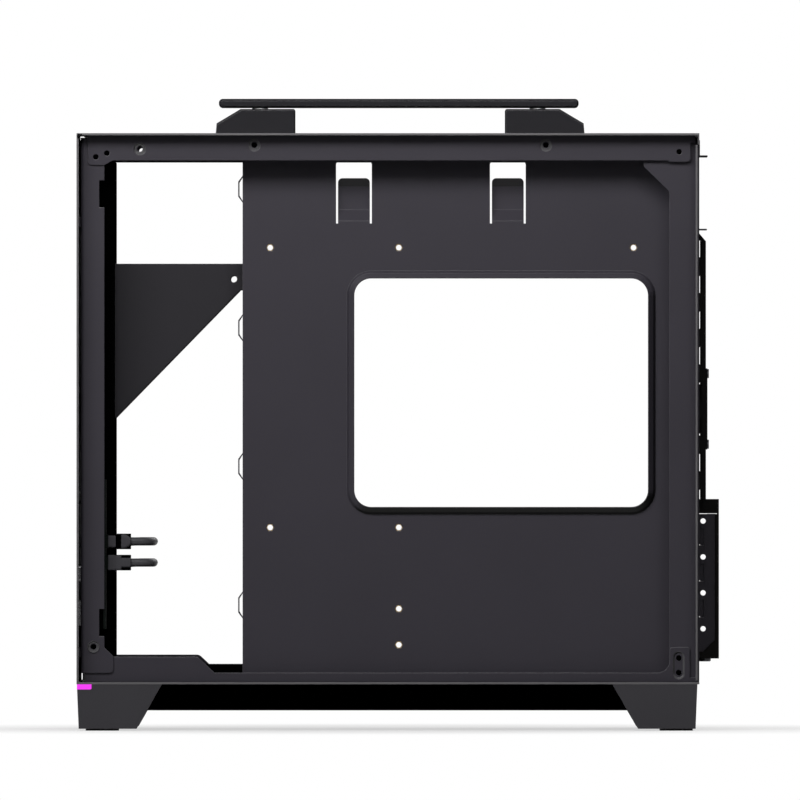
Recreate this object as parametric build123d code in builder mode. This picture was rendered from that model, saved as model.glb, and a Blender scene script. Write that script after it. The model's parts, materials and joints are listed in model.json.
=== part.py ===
"""A small tower computer case with both side panels off, standing on its feet.

Millimetres. +X points to the rear, +Z up. The open cable side faces -Y and the
open motherboard side faces +Y. The origin lies under the middle of the case.
"""

import os
from math import cos, pi, radians, sin, tan

from build123d import *

os.makedirs("parts", exist_ok=True)

# Overall sizes
body_length = 350.0
body_width = 205.0
body_height = 309.7
foot_height = 25.0
pad_height = 1.1
guard_depth = 12.2

# Sheet gauges and working clearances
skin = 1.2
sheet = 1.0
tray_sheet = 0.8
bend_radius = 1.4
seat_gap = 0.3
slide_gap = 0.2
screw_clearance = 3.4
fine_chamfer = 0.5
sheet_corner_radius = 2.2

# Where the case lies in its own frame
front_x = -(body_length + guard_depth) / 2
rear_x = front_x + body_length
half_width = body_width / 2
base_z = pad_height + foot_height
top_z = base_z + body_height

# Side flanges lie back from the rims, so that side panels drop in flush.
# Each flange overlaps the one behind it by a whole sheet.
panel_recess = 9.0
flange_y = half_width - panel_recess
top_flange_y = flange_y
front_flange_y = flange_y - sheet
base_flange_y = flange_y - 2 * sheet
rear_flange_y = flange_y - 3 * sheet

# Top frame and top panel
top_rail_drop = 15.3
top_lip_length = 6.3
rail_hole_drop = 6.7
panel_screw_drop = 8.8
panel_screw_x = front_x + 35.5
rail_hole_diameter = 3.2
dimple_diameter = 6.8
dimple_depth = 0.5
corner_tab_width = 9.2
corner_tab_drop = 2.6
top_slot_count = 13
top_slot_width = 3.4
top_slot_length = 118.0
top_slot_pitch = 7.0
top_opening_border_x = 3.0
top_opening_border_y = 4.0
top_panel_inset = 2.9
top_frame_inset = 6.3
rail_rear_inset = 4.9
rail_tab_length = 12.2
rail_tab_drop = 0.8
rail_end_drop = 5.4
corner_tab_slope = 4.9

# Front frame and front panel
panel_gap = 1.1
front_flange_depth = 15.6
front_notch_depth = 2.9
front_notch_height = 15.2
upper_notch_z = top_z - 34.1
lower_notch_z = base_z + 34.6
clip_size = 5.6
clip_inset = 16.0
clip_low_rise = 18.0
clip_top_drop = 50.0
clip_reach = 2.5
front_frame_lift = 6.2
front_frame_drop = 2.5
front_corner_reach = 5.1
front_corner_height = 9.5
front_corner_top = 14.4
front_hole_inset = 9.5
front_hole_rise = 21.0
front_hook = 0.5
front_hook_depth = 3.1

# Fan bracket behind the front frame
fan_bracket_depth = 17.0
fan_bracket_near_y = -half_width + 32.5
fan_bracket_far_y = half_width - 20.5
fan_size = 120.0
fan_bore = 112.0
fan_hole_pitch = 105.0
fan_hole_diameter = 4.4
cable_window_width = 16.0
cable_window_height = 30.0
cable_window_radius = 2.0
cable_window_shift = 27.0
cable_window_rise = 73.5
fan_bracket_lift = 12.8
fan_bracket_drop = 15.8

# Front grille, over the whole width of the fan bracket
grille_rows = 27
grille_columns = 2
grille_border = 13.0
grille_gap = 7.0
grille_width = fan_bracket_far_y - fan_bracket_near_y - 2 * grille_border
grille_slot_length = grille_width / grille_columns
grille_slot_height = 4.0
grille_pitch_z = 8.6
grille_pitch_y = grille_slot_length + grille_gap
grille_centre_z = base_z + body_height / 2 + 3.15

# Base
base_flange_rise = 5.2
base_front_rise = 14.2
base_step_x = front_x + 68.0
base_step_slope = 9.5
base_step_radius = 4.0
base_rear_rise = 2.5
base_front_overlap = 8.0
rear_column_depth = 15.8
far_column_relief = 6.0
rear_tab_rise = 19.6
rear_tab_width = 11.4
rear_tab_root_radius = 7.0
rear_tab_inset = 5.2
rear_tab_radius = 1.6
slot_emboss_width = 6.5
slot_emboss_height = 15.4
slot_emboss_inset = 11.5
slot_emboss_rise = 10.6
slot_hole_offset = 4.1
slot_hole_diameter = 3.1

# Motherboard tray
tray_depth = 30.0
tray_near_y = -half_width + tray_depth
tray_far_y = tray_near_y + tray_sheet
tray_flange_width = 12.0
tray_flange_relief = 20.0
board_datum_inset = 12.94
board_edge_margin = 15.53
standoff_height = 6.5
standoff_diameter = 6.4
standoff_bore = 3.1
standoff_shank = 4.4
board_columns = (22.86, 154.94, 227.33)
board_rows = (0.0, 157.48, 203.2, 223.52)
board_top_row_drop = 64.2
tray_front_x = rear_x - sheet - board_datum_inset - board_columns[2] - board_edge_margin
cutout_length = 165.2
cutout_height = 128.5
cutout_radius = 9.5
cutout_rear_inset = 28.7
cutout_top_drop = 81.6
cutout_rim_width = 4.3
cutout_rim_rise = 2.2
tongue_window_width = 20.1
tongue_window_height = 35.2
tongue_window_radius = 2.3
tongue_width = 17.9
tongue_radius = 2.5
tongue_positions = (front_x + 155.85, front_x + 242.45)
tongue_reach = 25.5
tongue_offset = 4.5
tongue_window_drop = 15.4
tongue_root_lap = 0.5
tongue_heel = 1.4
tongue_bend_rise = 7.6
tongue_straight_rise = 20.8
tongue_tip_lean = 2.4
tongue_bend_radius = 1.0
tongue_cut_gap = 1.0
bridge_count = 4
bridge_pitch = 78.0
bridge_height = 15.2
bridge_rise = 2.5
bridge_sheet = 0.75
bridge_width = 5.0
bridge_inset = 5.0
bridge_window_margin = 2.5
bridge_slope = 3.4
bridge_foot = 1.1
bridge_inner_slope = 4.0
lowest_bridge_z = base_z + 44.4

# Power supply shelf
shelf_top_z = top_z - 73.2
cheek_drop = 87.0
cheek_hole_diameter = 3.8
cheek_hole_inset = 5.1
cheek_hole_drop = 8.6
cheek_lap = 8.0
cheek_edge_height = 14.7
cheek_corner_gap = 1.4
shelf_border_x = 16.95
shelf_border_y = 17.0
shelf_near_y = -half_width + 44.5
shelf_far_y = half_width - 30.5

# Rear panel
io_width = 44.45
io_height = 158.75
io_near_y = tray_far_y + 4.3
io_bottom_z = base_z + 96.6
slot_pitch = 20.32
slot_count = 4
slot_screw_z = base_z + 91.3
slot_screw_out = 3.25
slot_screw_bore = 3.0
slot_screw_rise = 5.1
slot_opening_gap = 0.9
slit_margin = 0.5
gusset_drop = 32.7
gusset_edge_drop = 18.7
gusset_length = 14.3
rear_plate_inset = 7.0
lower_tab_sheet = 0.8
lip_sheet = 0.9
lip_top_drop = 3.2
slot_opening_height = 13.0
slot_opening_length = 98.0
bracket_width = 18.4
bracket_sheet = 0.8
cover_lap = 6.0
cover_notch_length = 6.0
cover_notch_height = 8.0
cover_tab_length = 10.4
cover_screw_slot = 4.4
cover_slot_reach = 6.0
cover_corner_length = 2.2
cover_corner_height = 1.9
slot_shelf_y = io_near_y + 109.8
slot_window_width = 3.1
slot_window_height = 9.6
slot_window_inset = 0.6
slot_window_drop = 8.9
guard_height = 90.2
guard_bottom_z = base_z + 13.5
guard_width = 15.0
guard_lip = 2.2
guard_shelf_drop = 8.4
guard_end_height = 8.1
guard_slope_top = 10.7
guard_floor_depth = 3.3
guard_floor_height = 3.9
guard_screw_inset = 4.2
guard_head_diameter = 7.0
guard_head_height = 1.7
guard_screw_diameter = 3.0
guard_screw_reach = 3.0
vent_depth = 4.4
vent_near_y = io_near_y + io_width + 6.95
vent_far_y = half_width - 8.5
vent_bottom_z = base_z + 103.7
vent_height = 150.8
vent_head_drop = 5.2
vent_border = 7.0
vent_slot_pitch = 20.15
vent_slot_rows = 7
side_slot_rise = 0.5
face_slot_shift = 2.0
side_slot_length = 9.8
side_slot_width = 1.6
face_slot_length = 13.0
face_slot_width = 6.4
face_slot_pitch = 12.0
inlet_clear = 3.0
upper_tab_z = top_z - 12.9
lower_tab_z = top_z - 54.4
upper_tab_reach = 5.2
lower_tab_reach = 4.5
tab_width = 60.0

# Mains inlet on the rear vent cover
inlet_height = 46.0
inlet_width = 26.0
inlet_flange = 1.5
inlet_y = vent_far_y - 18.0
inlet_z = base_z + 154.7
inlet_body_width = 20.0
inlet_body_height = 28.0
inlet_body_depth = 21.0
inlet_wall = 1.6
inlet_corner = 4.0
inlet_body_corner = 2.0
inlet_bore_corner = 2.5
inlet_back = 4.0
inlet_screw_pitch = 40.0
inlet_hole_diameter = 3.2
inlet_head_diameter = 5.2
inlet_head_height = 0.9
inlet_screw_diameter = 2.8
inlet_screw_length = 6.0
pin_size = (4.0, 2.0)
pin_offset_y = 2.0
pin_offset_z = 7.0
pin_length = 14.0

# Handle
handle_block_length = 44.9
handle_block_height = 14.25
handle_block_width = 34.0
handle_block_shift = 1.5
stiffener_inset = 22.8
handle_chamfer_x = 13.6
handle_chamfer_z = 8.1
handle_block_lean = 0.5
handle_block_radius = 1.3
handle_block_chamfer = 0.8
handle_plain_height = 4.0
handle_bar_length = 203.0
handle_half_gap = handle_bar_length / 2 - 43.1
handle_bar_height = 5.1
handle_bar_width = 26.0
handle_bar_radius = 2.2
handle_bar_chamfer = 1.1
handle_washer = 0.65
handle_washer_diameter = 9.0
handle_washer_bore = 4.0
handle_screw_x = handle_bar_length / 2 - 23.2
handle_screw_y = 7.0
stiffener_length = 28.0
stiffener_gap = 2.0

# Feet
foot_front_length = 47.7
foot_rear_length = 47.8
foot_front_toe = 15.3
foot_rear_toe = 15.6
foot_front_inset = 0.2
foot_rear_inset = 1.1
foot_slope = 1.1
foot_heel = 1.0
foot_pocket_gap = 1.0
leg_width = 42.0
foot_wall = 3.0
foot_beam_height = 11.0
foot_beam_length = 15.0
pad_length = 18.6
pad_width = 26.0
pad_chamfer = 3.0
pad_front_inset = 14.4
pad_rear_inset = 12.9
light_bar_height = 2.9
light_bar_depth = 8.2
light_bar_radius = 0.9

# Bottom filter
filter_height = 15.0
filter_gap = 1.5
filter_width = body_width - 2 * (leg_width + filter_gap)
filter_wall = 2.0
filter_ribs = 7
filter_front_inset = 31.0
filter_rear_inset = 28.0
intake_x = 10.0
intake_length = 232.0
intake_width = filter_width - 18.0
intake_columns = 6
intake_rows = 2
intake_pitch_x = 40.0
intake_pitch_y = (filter_width - 10.0) / intake_rows
intake_bar = 6.0
# Meshes
mesh_sheet = 0.5
mesh_border = 3.0
top_mesh_border = 2.0
bottom_mesh_gap_x = 2.0
bottom_mesh_gap_y = 1.0

# Front sockets and the power button
io_y = -half_width + 21.5
button_z = base_z + 106.0
button_diameter = 9.6
button_travel = 1.0
button_flange_diameter = 12.2
button_flange = 1.0
button_recess = 0.2
stem_diameter = 3.0
spring_wire = 0.5
spring_turns = 3
spring_runs = 14
spring_radius = 3.2
spring_end_gap = 0.05
housing_width = 18.0
housing_depth = 11.6
housing_bottom_z = base_z + 30.0
housing_top_z = base_z + 116.0
housing_radius = 2.0
pocket_depth = 6.6
pocket_floor = 1.6
switch_depth = 3.4
switch_size = 6.0
switch_pocket = 7.0
switch_gap = 0.1
board_thickness = 1.6
board_socket_height = 1.2
board_socket_inset = 0.5
usb_a_wall = 0.4
usb_c_wall = 0.35
usb_c_radius = 1.6
socket_back = 1.0
audio_bore = 3.6
plug_upper_z = base_z + 80.2
plug_lower_z = base_z + 68.3
cable_diameter = 4.8
plug_body_length = 8.9
plug_neck_length = 3.9
plug_height = 8.8
plug_width = 9.0
plug_taper = 8.0
plug_chamfer = 0.8
header_length = 14.0
header_depth = 7.2
header_width = 12.0
header_wall = 1.0
header_socket_depth = 7.0
guide_length = 20.4
guide_height = 8.9
guide_low_y = io_y + 19.0
guide_high_y = io_y + 36.5
guide_lanes_y = (io_y + 23.9, io_y + 31.3)


def across(y):
    """The plane at this y that faces the viewer on the cable side, drawn as X and Z."""
    return Plane.XZ.offset(-y)


def facing_rear(x):
    """The plane at this x that faces the rear, drawn as Y and Z."""
    return Plane.YZ.offset(x)


def level(z):
    """The plane at this height that faces up, drawn as X and Y."""
    return Plane.XY.offset(z)


def flange_planes(outer_y):
    """The planes on which the near and the far flange start, each a sheet thick."""
    return across(-(outer_y - sheet)), across(outer_y)


def few_sided(diameter, mode=Mode.ADD, sides=12):
    """A small round outline with few sides, for holes and heads that only repeat."""
    return RegularPolygon(diameter / 2, sides, mode=mode)


def middle(low, high):
    """The value half way between two values."""
    return (low + high) / 2


def finish(part, name):
    """Labels a finished piece and writes it."""
    part.label = name
    export_step(part, f"parts/{name}.step")
    print(name, round(part.volume, 1), len(part.solids()))


# Top panel: a flat skin with a thin lip that laps over the rear panel.
top_panel_front_x = front_x + top_panel_inset
with BuildPart() as top_panel:
    with BuildSketch(across(half_width)):
        with BuildLine():
            Polyline(
                (top_panel_front_x + seat_gap, top_z),
                (rear_x, top_z),
                (rear_x, top_z - top_lip_length),
                (rear_x - skin / 2, top_z - top_lip_length),
                (rear_x - skin / 2, top_z - skin),
                (top_panel_front_x + seat_gap, top_z - skin),
                close=True,
            )
        make_face()
    extrude(amount=body_width)
    with BuildSketch(level(top_z)):
        with GridLocations(top_slot_pitch, 0, top_slot_count, 1):
            Rectangle(top_slot_width, top_slot_length)
    extrude(amount=-skin, mode=Mode.SUBTRACT)
finish(top_panel.part, "top_panel")


# Top frame: a channel under the top panel, whose side rails carry the screws.
rail_bottom_z = top_z - top_rail_drop
frame_top_z = top_z - skin
top_frame_front_x = front_x + top_frame_inset
rail_rear_x = rear_x - rail_rear_inset
top_frame_rear_x = rear_x - 2 * sheet - seat_gap
front_tab_x = top_frame_front_x + corner_tab_width
rear_tab_x = rail_rear_x - rail_tab_length
stiffener_x = (-handle_half_gap - stiffener_inset, handle_half_gap + handle_block_shift + stiffener_inset)
rail_hole_places = (
    (panel_screw_x, top_z - panel_screw_drop),
    (stiffener_x[0], top_z - rail_hole_drop),
    (stiffener_x[1], top_z - rail_hole_drop),
)
corner_hole_places = (
    (front_x + 10.8, top_z - 13.3),
    (front_x + 17.0, top_z - 11.2),
    (rear_x - 11.3, top_z - 10.4),
)

with BuildSketch() as rail:
    with BuildLine():
        Polyline(
            (top_frame_front_x, frame_top_z),
            (top_frame_front_x, rail_bottom_z - corner_tab_drop),
            (front_tab_x, rail_bottom_z - corner_tab_drop),
            (front_tab_x + corner_tab_slope, rail_bottom_z),
            (rear_tab_x, rail_bottom_z),
            (rear_tab_x, rail_bottom_z - rail_tab_drop),
            (rail_rear_x, rail_bottom_z - rail_tab_drop),
            (rail_rear_x, top_z - rail_end_drop),
            (top_frame_rear_x, top_z - rail_end_drop),
            (top_frame_rear_x, frame_top_z),
            close=True,
        )
    make_face()
    low_corners = rail.vertices().sort_by(Axis.Y)
    fillet((low_corners.sort_by(Axis.X)[0], low_corners[:4].sort_by(Axis.X)[-1]), sheet_corner_radius)
    with Locations(*rail_hole_places, *corner_hole_places):
        few_sided(rail_hole_diameter, Mode.SUBTRACT)

with BuildPart() as top_frame:
    with BuildSketch(level(frame_top_z)):
        with Locations((middle(top_frame_front_x, top_frame_rear_x), 0)):
            Rectangle(top_frame_rear_x - top_frame_front_x, 2 * top_flange_y)
        Rectangle(
            top_slot_count * top_slot_pitch + 2 * top_opening_border_x,
            top_slot_length + 2 * top_opening_border_y,
            mode=Mode.SUBTRACT,
        )
    extrude(amount=-sheet)
    for plane in flange_planes(top_flange_y):
        with BuildSketch(plane):
            add(rail.sketch)
        extrude(amount=sheet)
    for face_y, inward in ((-top_flange_y, -1), (top_flange_y, 1)):
        with BuildSketch(across(face_y)):
            with Locations(*rail_hole_places):
                few_sided(dimple_diameter, sides=20)
        extrude(amount=inward * dimple_depth, mode=Mode.SUBTRACT)
finish(top_frame.part, "top_frame")


# Front frame: a folded channel whose side flanges hold the side panels.
plate_front_x = front_x + skin + panel_gap
plate_back_x = plate_front_x + sheet
front_flange_end_x = front_x + front_flange_depth
front_fold_x = plate_front_x + sheet / 2 + bend_radius
front_bottom_z = base_z + front_frame_lift
front_top_z = top_z - front_frame_drop
front_corner_x = front_flange_end_x + front_corner_reach
fan_centre_y = middle(fan_bracket_near_y, fan_bracket_far_y)
fan_bracket_bottom_z = base_z + skin + sheet + fan_bracket_lift
fan_bracket_top_z = top_z - fan_bracket_drop
fan_centres = [
    (fan_centre_y, middle(fan_bracket_bottom_z, fan_bracket_top_z) + step * fan_size)
    for step in (-0.5, 0.5)
]
clip_y = half_width - clip_inset
clip_places = [(y, z) for y in (-clip_y, clip_y) for z in (base_z + clip_low_rise, top_z - clip_top_drop)]
socket_places = {"usb_a": base_z + 40.0, "usb_c": base_z + 62.0, "audio": base_z + 80.0}
usb_a_size = (6.2, 14.2)
usb_c_size = (3.6, 9.4)
audio_diameter = 6.4

with BuildSketch() as front_flange:
    with BuildLine():
        Polyline(
            (front_fold_x, front_bottom_z),
            (front_corner_x, front_bottom_z),
            (front_corner_x, front_bottom_z + front_corner_height),
            (front_flange_end_x, front_bottom_z + front_corner_top),
            (front_flange_end_x, front_top_z),
            (front_fold_x, front_top_z),
            close=True,
        )
    make_face()
    fillet(front_flange.vertices().sort_by(Axis.Y)[:2].sort_by(Axis.X)[-1], sheet_corner_radius)
    for notch_z in (upper_notch_z, lower_notch_z):
        with Locations((front_flange_end_x, notch_z)):
            Rectangle(2 * front_notch_depth, front_notch_height, mode=Mode.SUBTRACT)
    with Locations((front_x + front_hole_inset, base_z + front_hole_rise)):
        few_sided(rail_hole_diameter, Mode.SUBTRACT)

with BuildPart() as front_frame:
    with BuildSketch(level(front_bottom_z)):
        with BuildLine():
            FilletPolyline(
                (front_fold_x + sheet, -front_flange_y + sheet / 2),
                (plate_front_x + sheet / 2, -front_flange_y + sheet / 2),
                (plate_front_x + sheet / 2, front_flange_y - sheet / 2),
                (front_fold_x + sheet, front_flange_y - sheet / 2),
                radius=bend_radius,
            )
        trace(line_width=sheet)
    extrude(amount=front_top_z - front_bottom_z)
    for plane in flange_planes(front_flange_y):
        with BuildSketch(plane):
            add(front_flange.sketch)
        extrude(amount=sheet)
    with BuildSketch(facing_rear(plate_front_x)):
        with Locations(*fan_centres):
            Circle(fan_bore / 2)
        with Locations(*clip_places):
            Rectangle(clip_size + 2 * slide_gap, clip_size + 2 * slide_gap)
        with Locations((io_y, button_z)):
            Circle(button_diameter / 2 + seat_gap)
        with Locations((io_y, socket_places["usb_a"])):
            Rectangle(usb_a_size[0] + 2 * seat_gap, usb_a_size[1] + 2 * seat_gap)
        with Locations((io_y, socket_places["usb_c"])):
            Rectangle(usb_c_size[0] + 2 * seat_gap, usb_c_size[1] + 2 * seat_gap)
        with Locations((io_y, socket_places["audio"])):
            Circle(audio_diameter / 2 + seat_gap)
    extrude(amount=sheet, mode=Mode.SUBTRACT)
finish(front_frame.part, "front_frame")


# Front panel: one sheet whose top edge is thinned and hooks over the corner.
with BuildPart() as front_panel:
    with BuildSketch(across(half_width)):
        with BuildLine():
            Polyline(
                (front_x, base_z),
                (front_x, top_z),
                (top_panel_front_x, top_z),
                (top_panel_front_x, top_z - front_hook),
                (front_x + front_hook, top_z - front_hook),
                (front_x + front_hook, top_z - front_hook_depth),
                (front_x + skin, top_z - front_hook_depth),
                (front_x + skin, base_z),
                close=True,
            )
        make_face()
    extrude(amount=body_width)
    with BuildSketch(facing_rear(front_x)):
        with Locations((fan_centre_y, grille_centre_z)):
            with GridLocations(grille_pitch_y, grille_pitch_z, grille_columns, grille_rows):
                Rectangle(grille_slot_length, grille_slot_height)
        with Locations((io_y, button_z)):
            Circle(button_diameter / 2 + slide_gap)
        with Locations((io_y, socket_places["usb_a"])):
            Rectangle(usb_a_size[0] + 2 * slide_gap, usb_a_size[1] + 2 * slide_gap)
        with Locations((io_y, socket_places["usb_c"])):
            RectangleRounded(usb_c_size[0] + 2 * slide_gap, usb_c_size[1] + 2 * slide_gap, usb_c_radius)
        with Locations((io_y, socket_places["audio"])):
            Circle(audio_diameter / 2 + slide_gap)
    extrude(amount=skin, mode=Mode.SUBTRACT)
    with BuildSketch(facing_rear(front_x + skin)):
        with Locations(*clip_places):
            Rectangle(clip_size, clip_size)
    extrude(amount=panel_gap + sheet + clip_reach)
finish(front_panel.part, "front_panel")


# Fan bracket: a hat section with two fan bores and a window for the front cables.
fan_bracket_back_x = plate_back_x + fan_bracket_depth + sheet
cable_window_y = io_y + cable_window_shift
cable_window_z = base_z + cable_window_rise
with BuildPart() as fan_bracket:
    with BuildSketch(level(fan_bracket_bottom_z)):
        with BuildLine():
            FilletPolyline(
                (plate_back_x, fan_bracket_near_y + sheet / 2),
                (fan_bracket_back_x - sheet / 2, fan_bracket_near_y + sheet / 2),
                (fan_bracket_back_x - sheet / 2, fan_bracket_far_y - sheet / 2),
                (plate_back_x, fan_bracket_far_y - sheet / 2),
                radius=bend_radius,
            )
        trace(line_width=sheet)
    extrude(amount=fan_bracket_top_z - fan_bracket_bottom_z)
    with BuildSketch(facing_rear(fan_bracket_back_x - sheet)):
        with Locations(*fan_centres):
            Circle(fan_bore / 2)
            with GridLocations(fan_hole_pitch, fan_hole_pitch, 2, 2):
                Circle(fan_hole_diameter / 2)
        with Locations((cable_window_y, cable_window_z)):
            RectangleRounded(cable_window_width, cable_window_height, cable_window_radius)
    extrude(amount=sheet, mode=Mode.SUBTRACT)
finish(fan_bracket.part, "fan_bracket")


# Bottom panel: a flat skin with a ribbed intake over the filter.
with BuildPart() as bottom_panel:
    with BuildSketch(level(base_z)):
        with Locations((middle(front_x + skin, rear_x), 0)):
            Rectangle(rear_x - front_x - skin, body_width)
        with GridLocations(intake_pitch_x, intake_pitch_y, intake_columns, intake_rows):
            Rectangle(intake_pitch_x - intake_bar, intake_pitch_y - intake_bar, mode=Mode.SUBTRACT)
    extrude(amount=skin)
finish(bottom_panel.part, "bottom_panel")


# Base frame: a pan on the bottom panel, with raised ends that lap the columns.
floor_z = base_z + skin + sheet
base_low_z = floor_z - sheet
base_rail_z = base_low_z + base_flange_rise
base_front_z = base_low_z + base_front_rise
rear_tab_back_x = rear_x - rear_tab_inset
rear_tab_front_x = rear_tab_back_x - rear_tab_width
base_rear_x = rear_x - 2 * sheet
emboss_x = rear_x - slot_emboss_inset
emboss_z = base_z + slot_emboss_rise
with BuildSketch() as base_rail:
    with BuildLine():
        Polyline(
            (plate_back_x + bend_radius, base_low_z),
            (plate_back_x + bend_radius, base_front_z),
            (base_step_x, base_front_z),
            (base_step_x + base_step_slope, base_rail_z),
            (rear_tab_front_x, base_rail_z),
            (rear_tab_front_x, base_low_z + rear_tab_rise),
            (rear_tab_back_x, base_low_z + rear_tab_rise),
            (rear_tab_back_x, base_low_z + base_rear_rise),
            (base_rear_x, base_low_z + base_rear_rise),
            (base_rear_x, base_low_z),
            close=True,
        )
    make_face()
    step_corner = base_rail.vertices().filter_by_position(Axis.X, base_step_x - 0.1, base_step_x + 0.1)
    fillet(step_corner, base_step_radius)
    tab_root = base_rail.vertices().sort_by_distance((rear_tab_front_x, base_rail_z, 0))[0]
    fillet(tab_root, rear_tab_root_radius)
    tab_top = base_rail.vertices().group_by(Axis.Y)[-1]
    fillet(tab_top, rear_tab_radius)
    with Locations((emboss_x, emboss_z + slot_hole_offset), (emboss_x, emboss_z - slot_hole_offset)):
        few_sided(slot_hole_diameter, Mode.SUBTRACT)

with BuildPart() as base_frame:
    with BuildSketch(level(base_low_z)):
        with Locations((middle(plate_back_x, rear_x), 0)):
            Rectangle(rear_x - plate_back_x, 2 * base_flange_y)
        with Locations((intake_x, 0)):
            Rectangle(intake_length, intake_width, mode=Mode.SUBTRACT)
    extrude(amount=sheet)
    for plane in flange_planes(base_flange_y):
        with BuildSketch(plane):
            add(base_rail.sketch)
        extrude(amount=sheet)
    with BuildSketch(level(base_low_z)):
        with Locations((plate_back_x + sheet / 2, 0)):
            Rectangle(sheet, 2 * (base_flange_y - sheet - bend_radius))
    extrude(amount=front_bottom_z + base_front_overlap - base_low_z)
    for face_y, inward in ((-base_flange_y, -1), (base_flange_y, 1)):
        with BuildSketch(across(face_y)):
            with Locations((emboss_x, emboss_z)):
                SlotOverall(slot_emboss_height, slot_emboss_width, rotation=90)
        extrude(amount=inward * dimple_depth, mode=Mode.SUBTRACT)
finish(base_frame.part, "base_frame")


# Rear: a flat plate on two folded columns, each with a gusset at its top.
hem_x = rear_x - 2 * sheet
column_front_x = hem_x - rear_column_depth + sheet
far_column_front_x = column_front_x + far_column_relief
rear_plate_top_z = top_z - top_lip_length - seat_gap
column_top_z = frame_top_z - sheet
plate_edge_y = half_width - rear_plate_inset
gusset_low_z = top_z - gusset_drop
io_centre_y = io_near_y + io_width / 2
slot_screws_z = [slot_screw_z - step * slot_pitch for step in range(slot_count)]
slot_centres_z = [screw_z - slot_screw_rise for screw_z in slot_screws_z]
slot_opening_y = slot_shelf_y - slot_opening_gap - slot_opening_length / 2
shelf_bottom_z = guard_bottom_z + sheet + seat_gap
shelf_screw_top_z = guard_bottom_z + guard_height - guard_shelf_drop
slit_y = slot_shelf_y + sheet + bracket_sheet / 2
vent_centre_z = vent_bottom_z + vent_height / 2
vent_centre_y = middle(vent_near_y, vent_far_y)

for name, side, front_edge_x in (("near", -1, column_front_x), ("far", 1, far_column_front_x)):
    with BuildPart() as rear_column:
        with BuildSketch(level(floor_z)):
            with BuildLine():
                Polyline(
                    (front_edge_x, side * rear_flange_y),
                    (hem_x, side * rear_flange_y),
                    (hem_x, side * half_width),
                    (hem_x + sheet, side * half_width),
                    (hem_x + sheet, side * (rear_flange_y - sheet)),
                    (front_edge_x, side * (rear_flange_y - sheet)),
                    close=True,
                )
            make_face()
        extrude(amount=rear_plate_top_z - floor_z)
        with BuildSketch(flange_planes(rear_flange_y)[0 if side < 0 else 1]):
            with BuildLine():
                Polyline(
                    (column_front_x, gusset_low_z),
                    (column_front_x - gusset_length, top_z - gusset_edge_drop),
                    (column_front_x - gusset_length, column_top_z),
                    (hem_x, column_top_z),
                    (hem_x, gusset_low_z),
                    close=True,
                )
            make_face()
        extrude(amount=sheet)
    finish(rear_column.part, f"rear_column_{name}")

with BuildPart() as rear_panel:
    with BuildSketch(facing_rear(rear_x - sheet)):
        with Locations((0, middle(floor_z, rear_plate_top_z))):
            Rectangle(2 * plate_edge_y, rear_plate_top_z - floor_z)
    extrude(amount=sheet)
    with BuildSketch(facing_rear(rear_x - sheet)):
        with Locations((io_centre_y, io_bottom_z + io_height / 2)):
            Rectangle(io_width, io_height)
        with Locations((vent_centre_y, vent_centre_z)):
            Rectangle(vent_far_y - vent_near_y - 2 * vent_border, vent_height - 2 * vent_border)
        with Locations(*((slot_opening_y, z) for z in slot_centres_z)):
            Rectangle(slot_opening_length, slot_opening_height)
        with Locations((slit_y, middle(slot_centres_z[0], slot_centres_z[-1]))):
            Rectangle(
                bracket_sheet + 2 * slide_gap,
                (slot_count - 1) * slot_pitch + bracket_width + 2 * slit_margin,
            )
    extrude(amount=sheet, mode=Mode.SUBTRACT)
    shelf_end_x = rear_x + guard_depth - sheet - seat_gap
    with BuildSketch(across(slot_shelf_y + sheet)):
        with Locations((middle(rear_x, shelf_end_x), middle(shelf_bottom_z, shelf_screw_top_z))):
            Rectangle(shelf_end_x - rear_x, shelf_screw_top_z - shelf_bottom_z)
        with Locations(*((rear_x + slot_screw_out, z) for z in slot_screws_z)):
            Circle(slot_screw_bore / 2, mode=Mode.SUBTRACT)
        window_x = rear_x + slot_window_inset + slot_window_width / 2
        with Locations(*((window_x, z - slot_window_drop) for z in slot_screws_z[:-1])):
            Rectangle(slot_window_width, slot_window_height, mode=Mode.SUBTRACT)
    extrude(amount=sheet)
    with BuildSketch(across(io_near_y + io_width)):
        with Locations((rear_x + lower_tab_reach / 2, io_bottom_z + io_height + lower_tab_sheet / 2)):
            Rectangle(lower_tab_reach, lower_tab_sheet)
    extrude(amount=io_width)
finish(rear_panel.part, "rear_panel")


# Upper lip: a small angle that laps the seam between the top and rear panels.
with BuildPart() as rear_upper_lip:
    with BuildSketch(across(tab_width / 2)):
        with BuildLine():
            Polyline(
                (rear_x, upper_tab_z),
                (rear_x, top_z - lip_top_drop),
                (rear_x + lip_sheet, top_z - lip_top_drop),
                (rear_x + lip_sheet, upper_tab_z + lip_sheet),
                (rear_x + upper_tab_reach, upper_tab_z + lip_sheet),
                (rear_x + upper_tab_reach, upper_tab_z),
                close=True,
            )
        make_face()
    extrude(amount=tab_width)
    top_edge = rear_upper_lip.edges().filter_by(Axis.Y).group_by(Axis.Z)[-1].sort_by(Axis.X)[-1]
    fillet(top_edge, lip_sheet * 0.8)
finish(rear_upper_lip.part, "rear_upper_lip")


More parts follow.
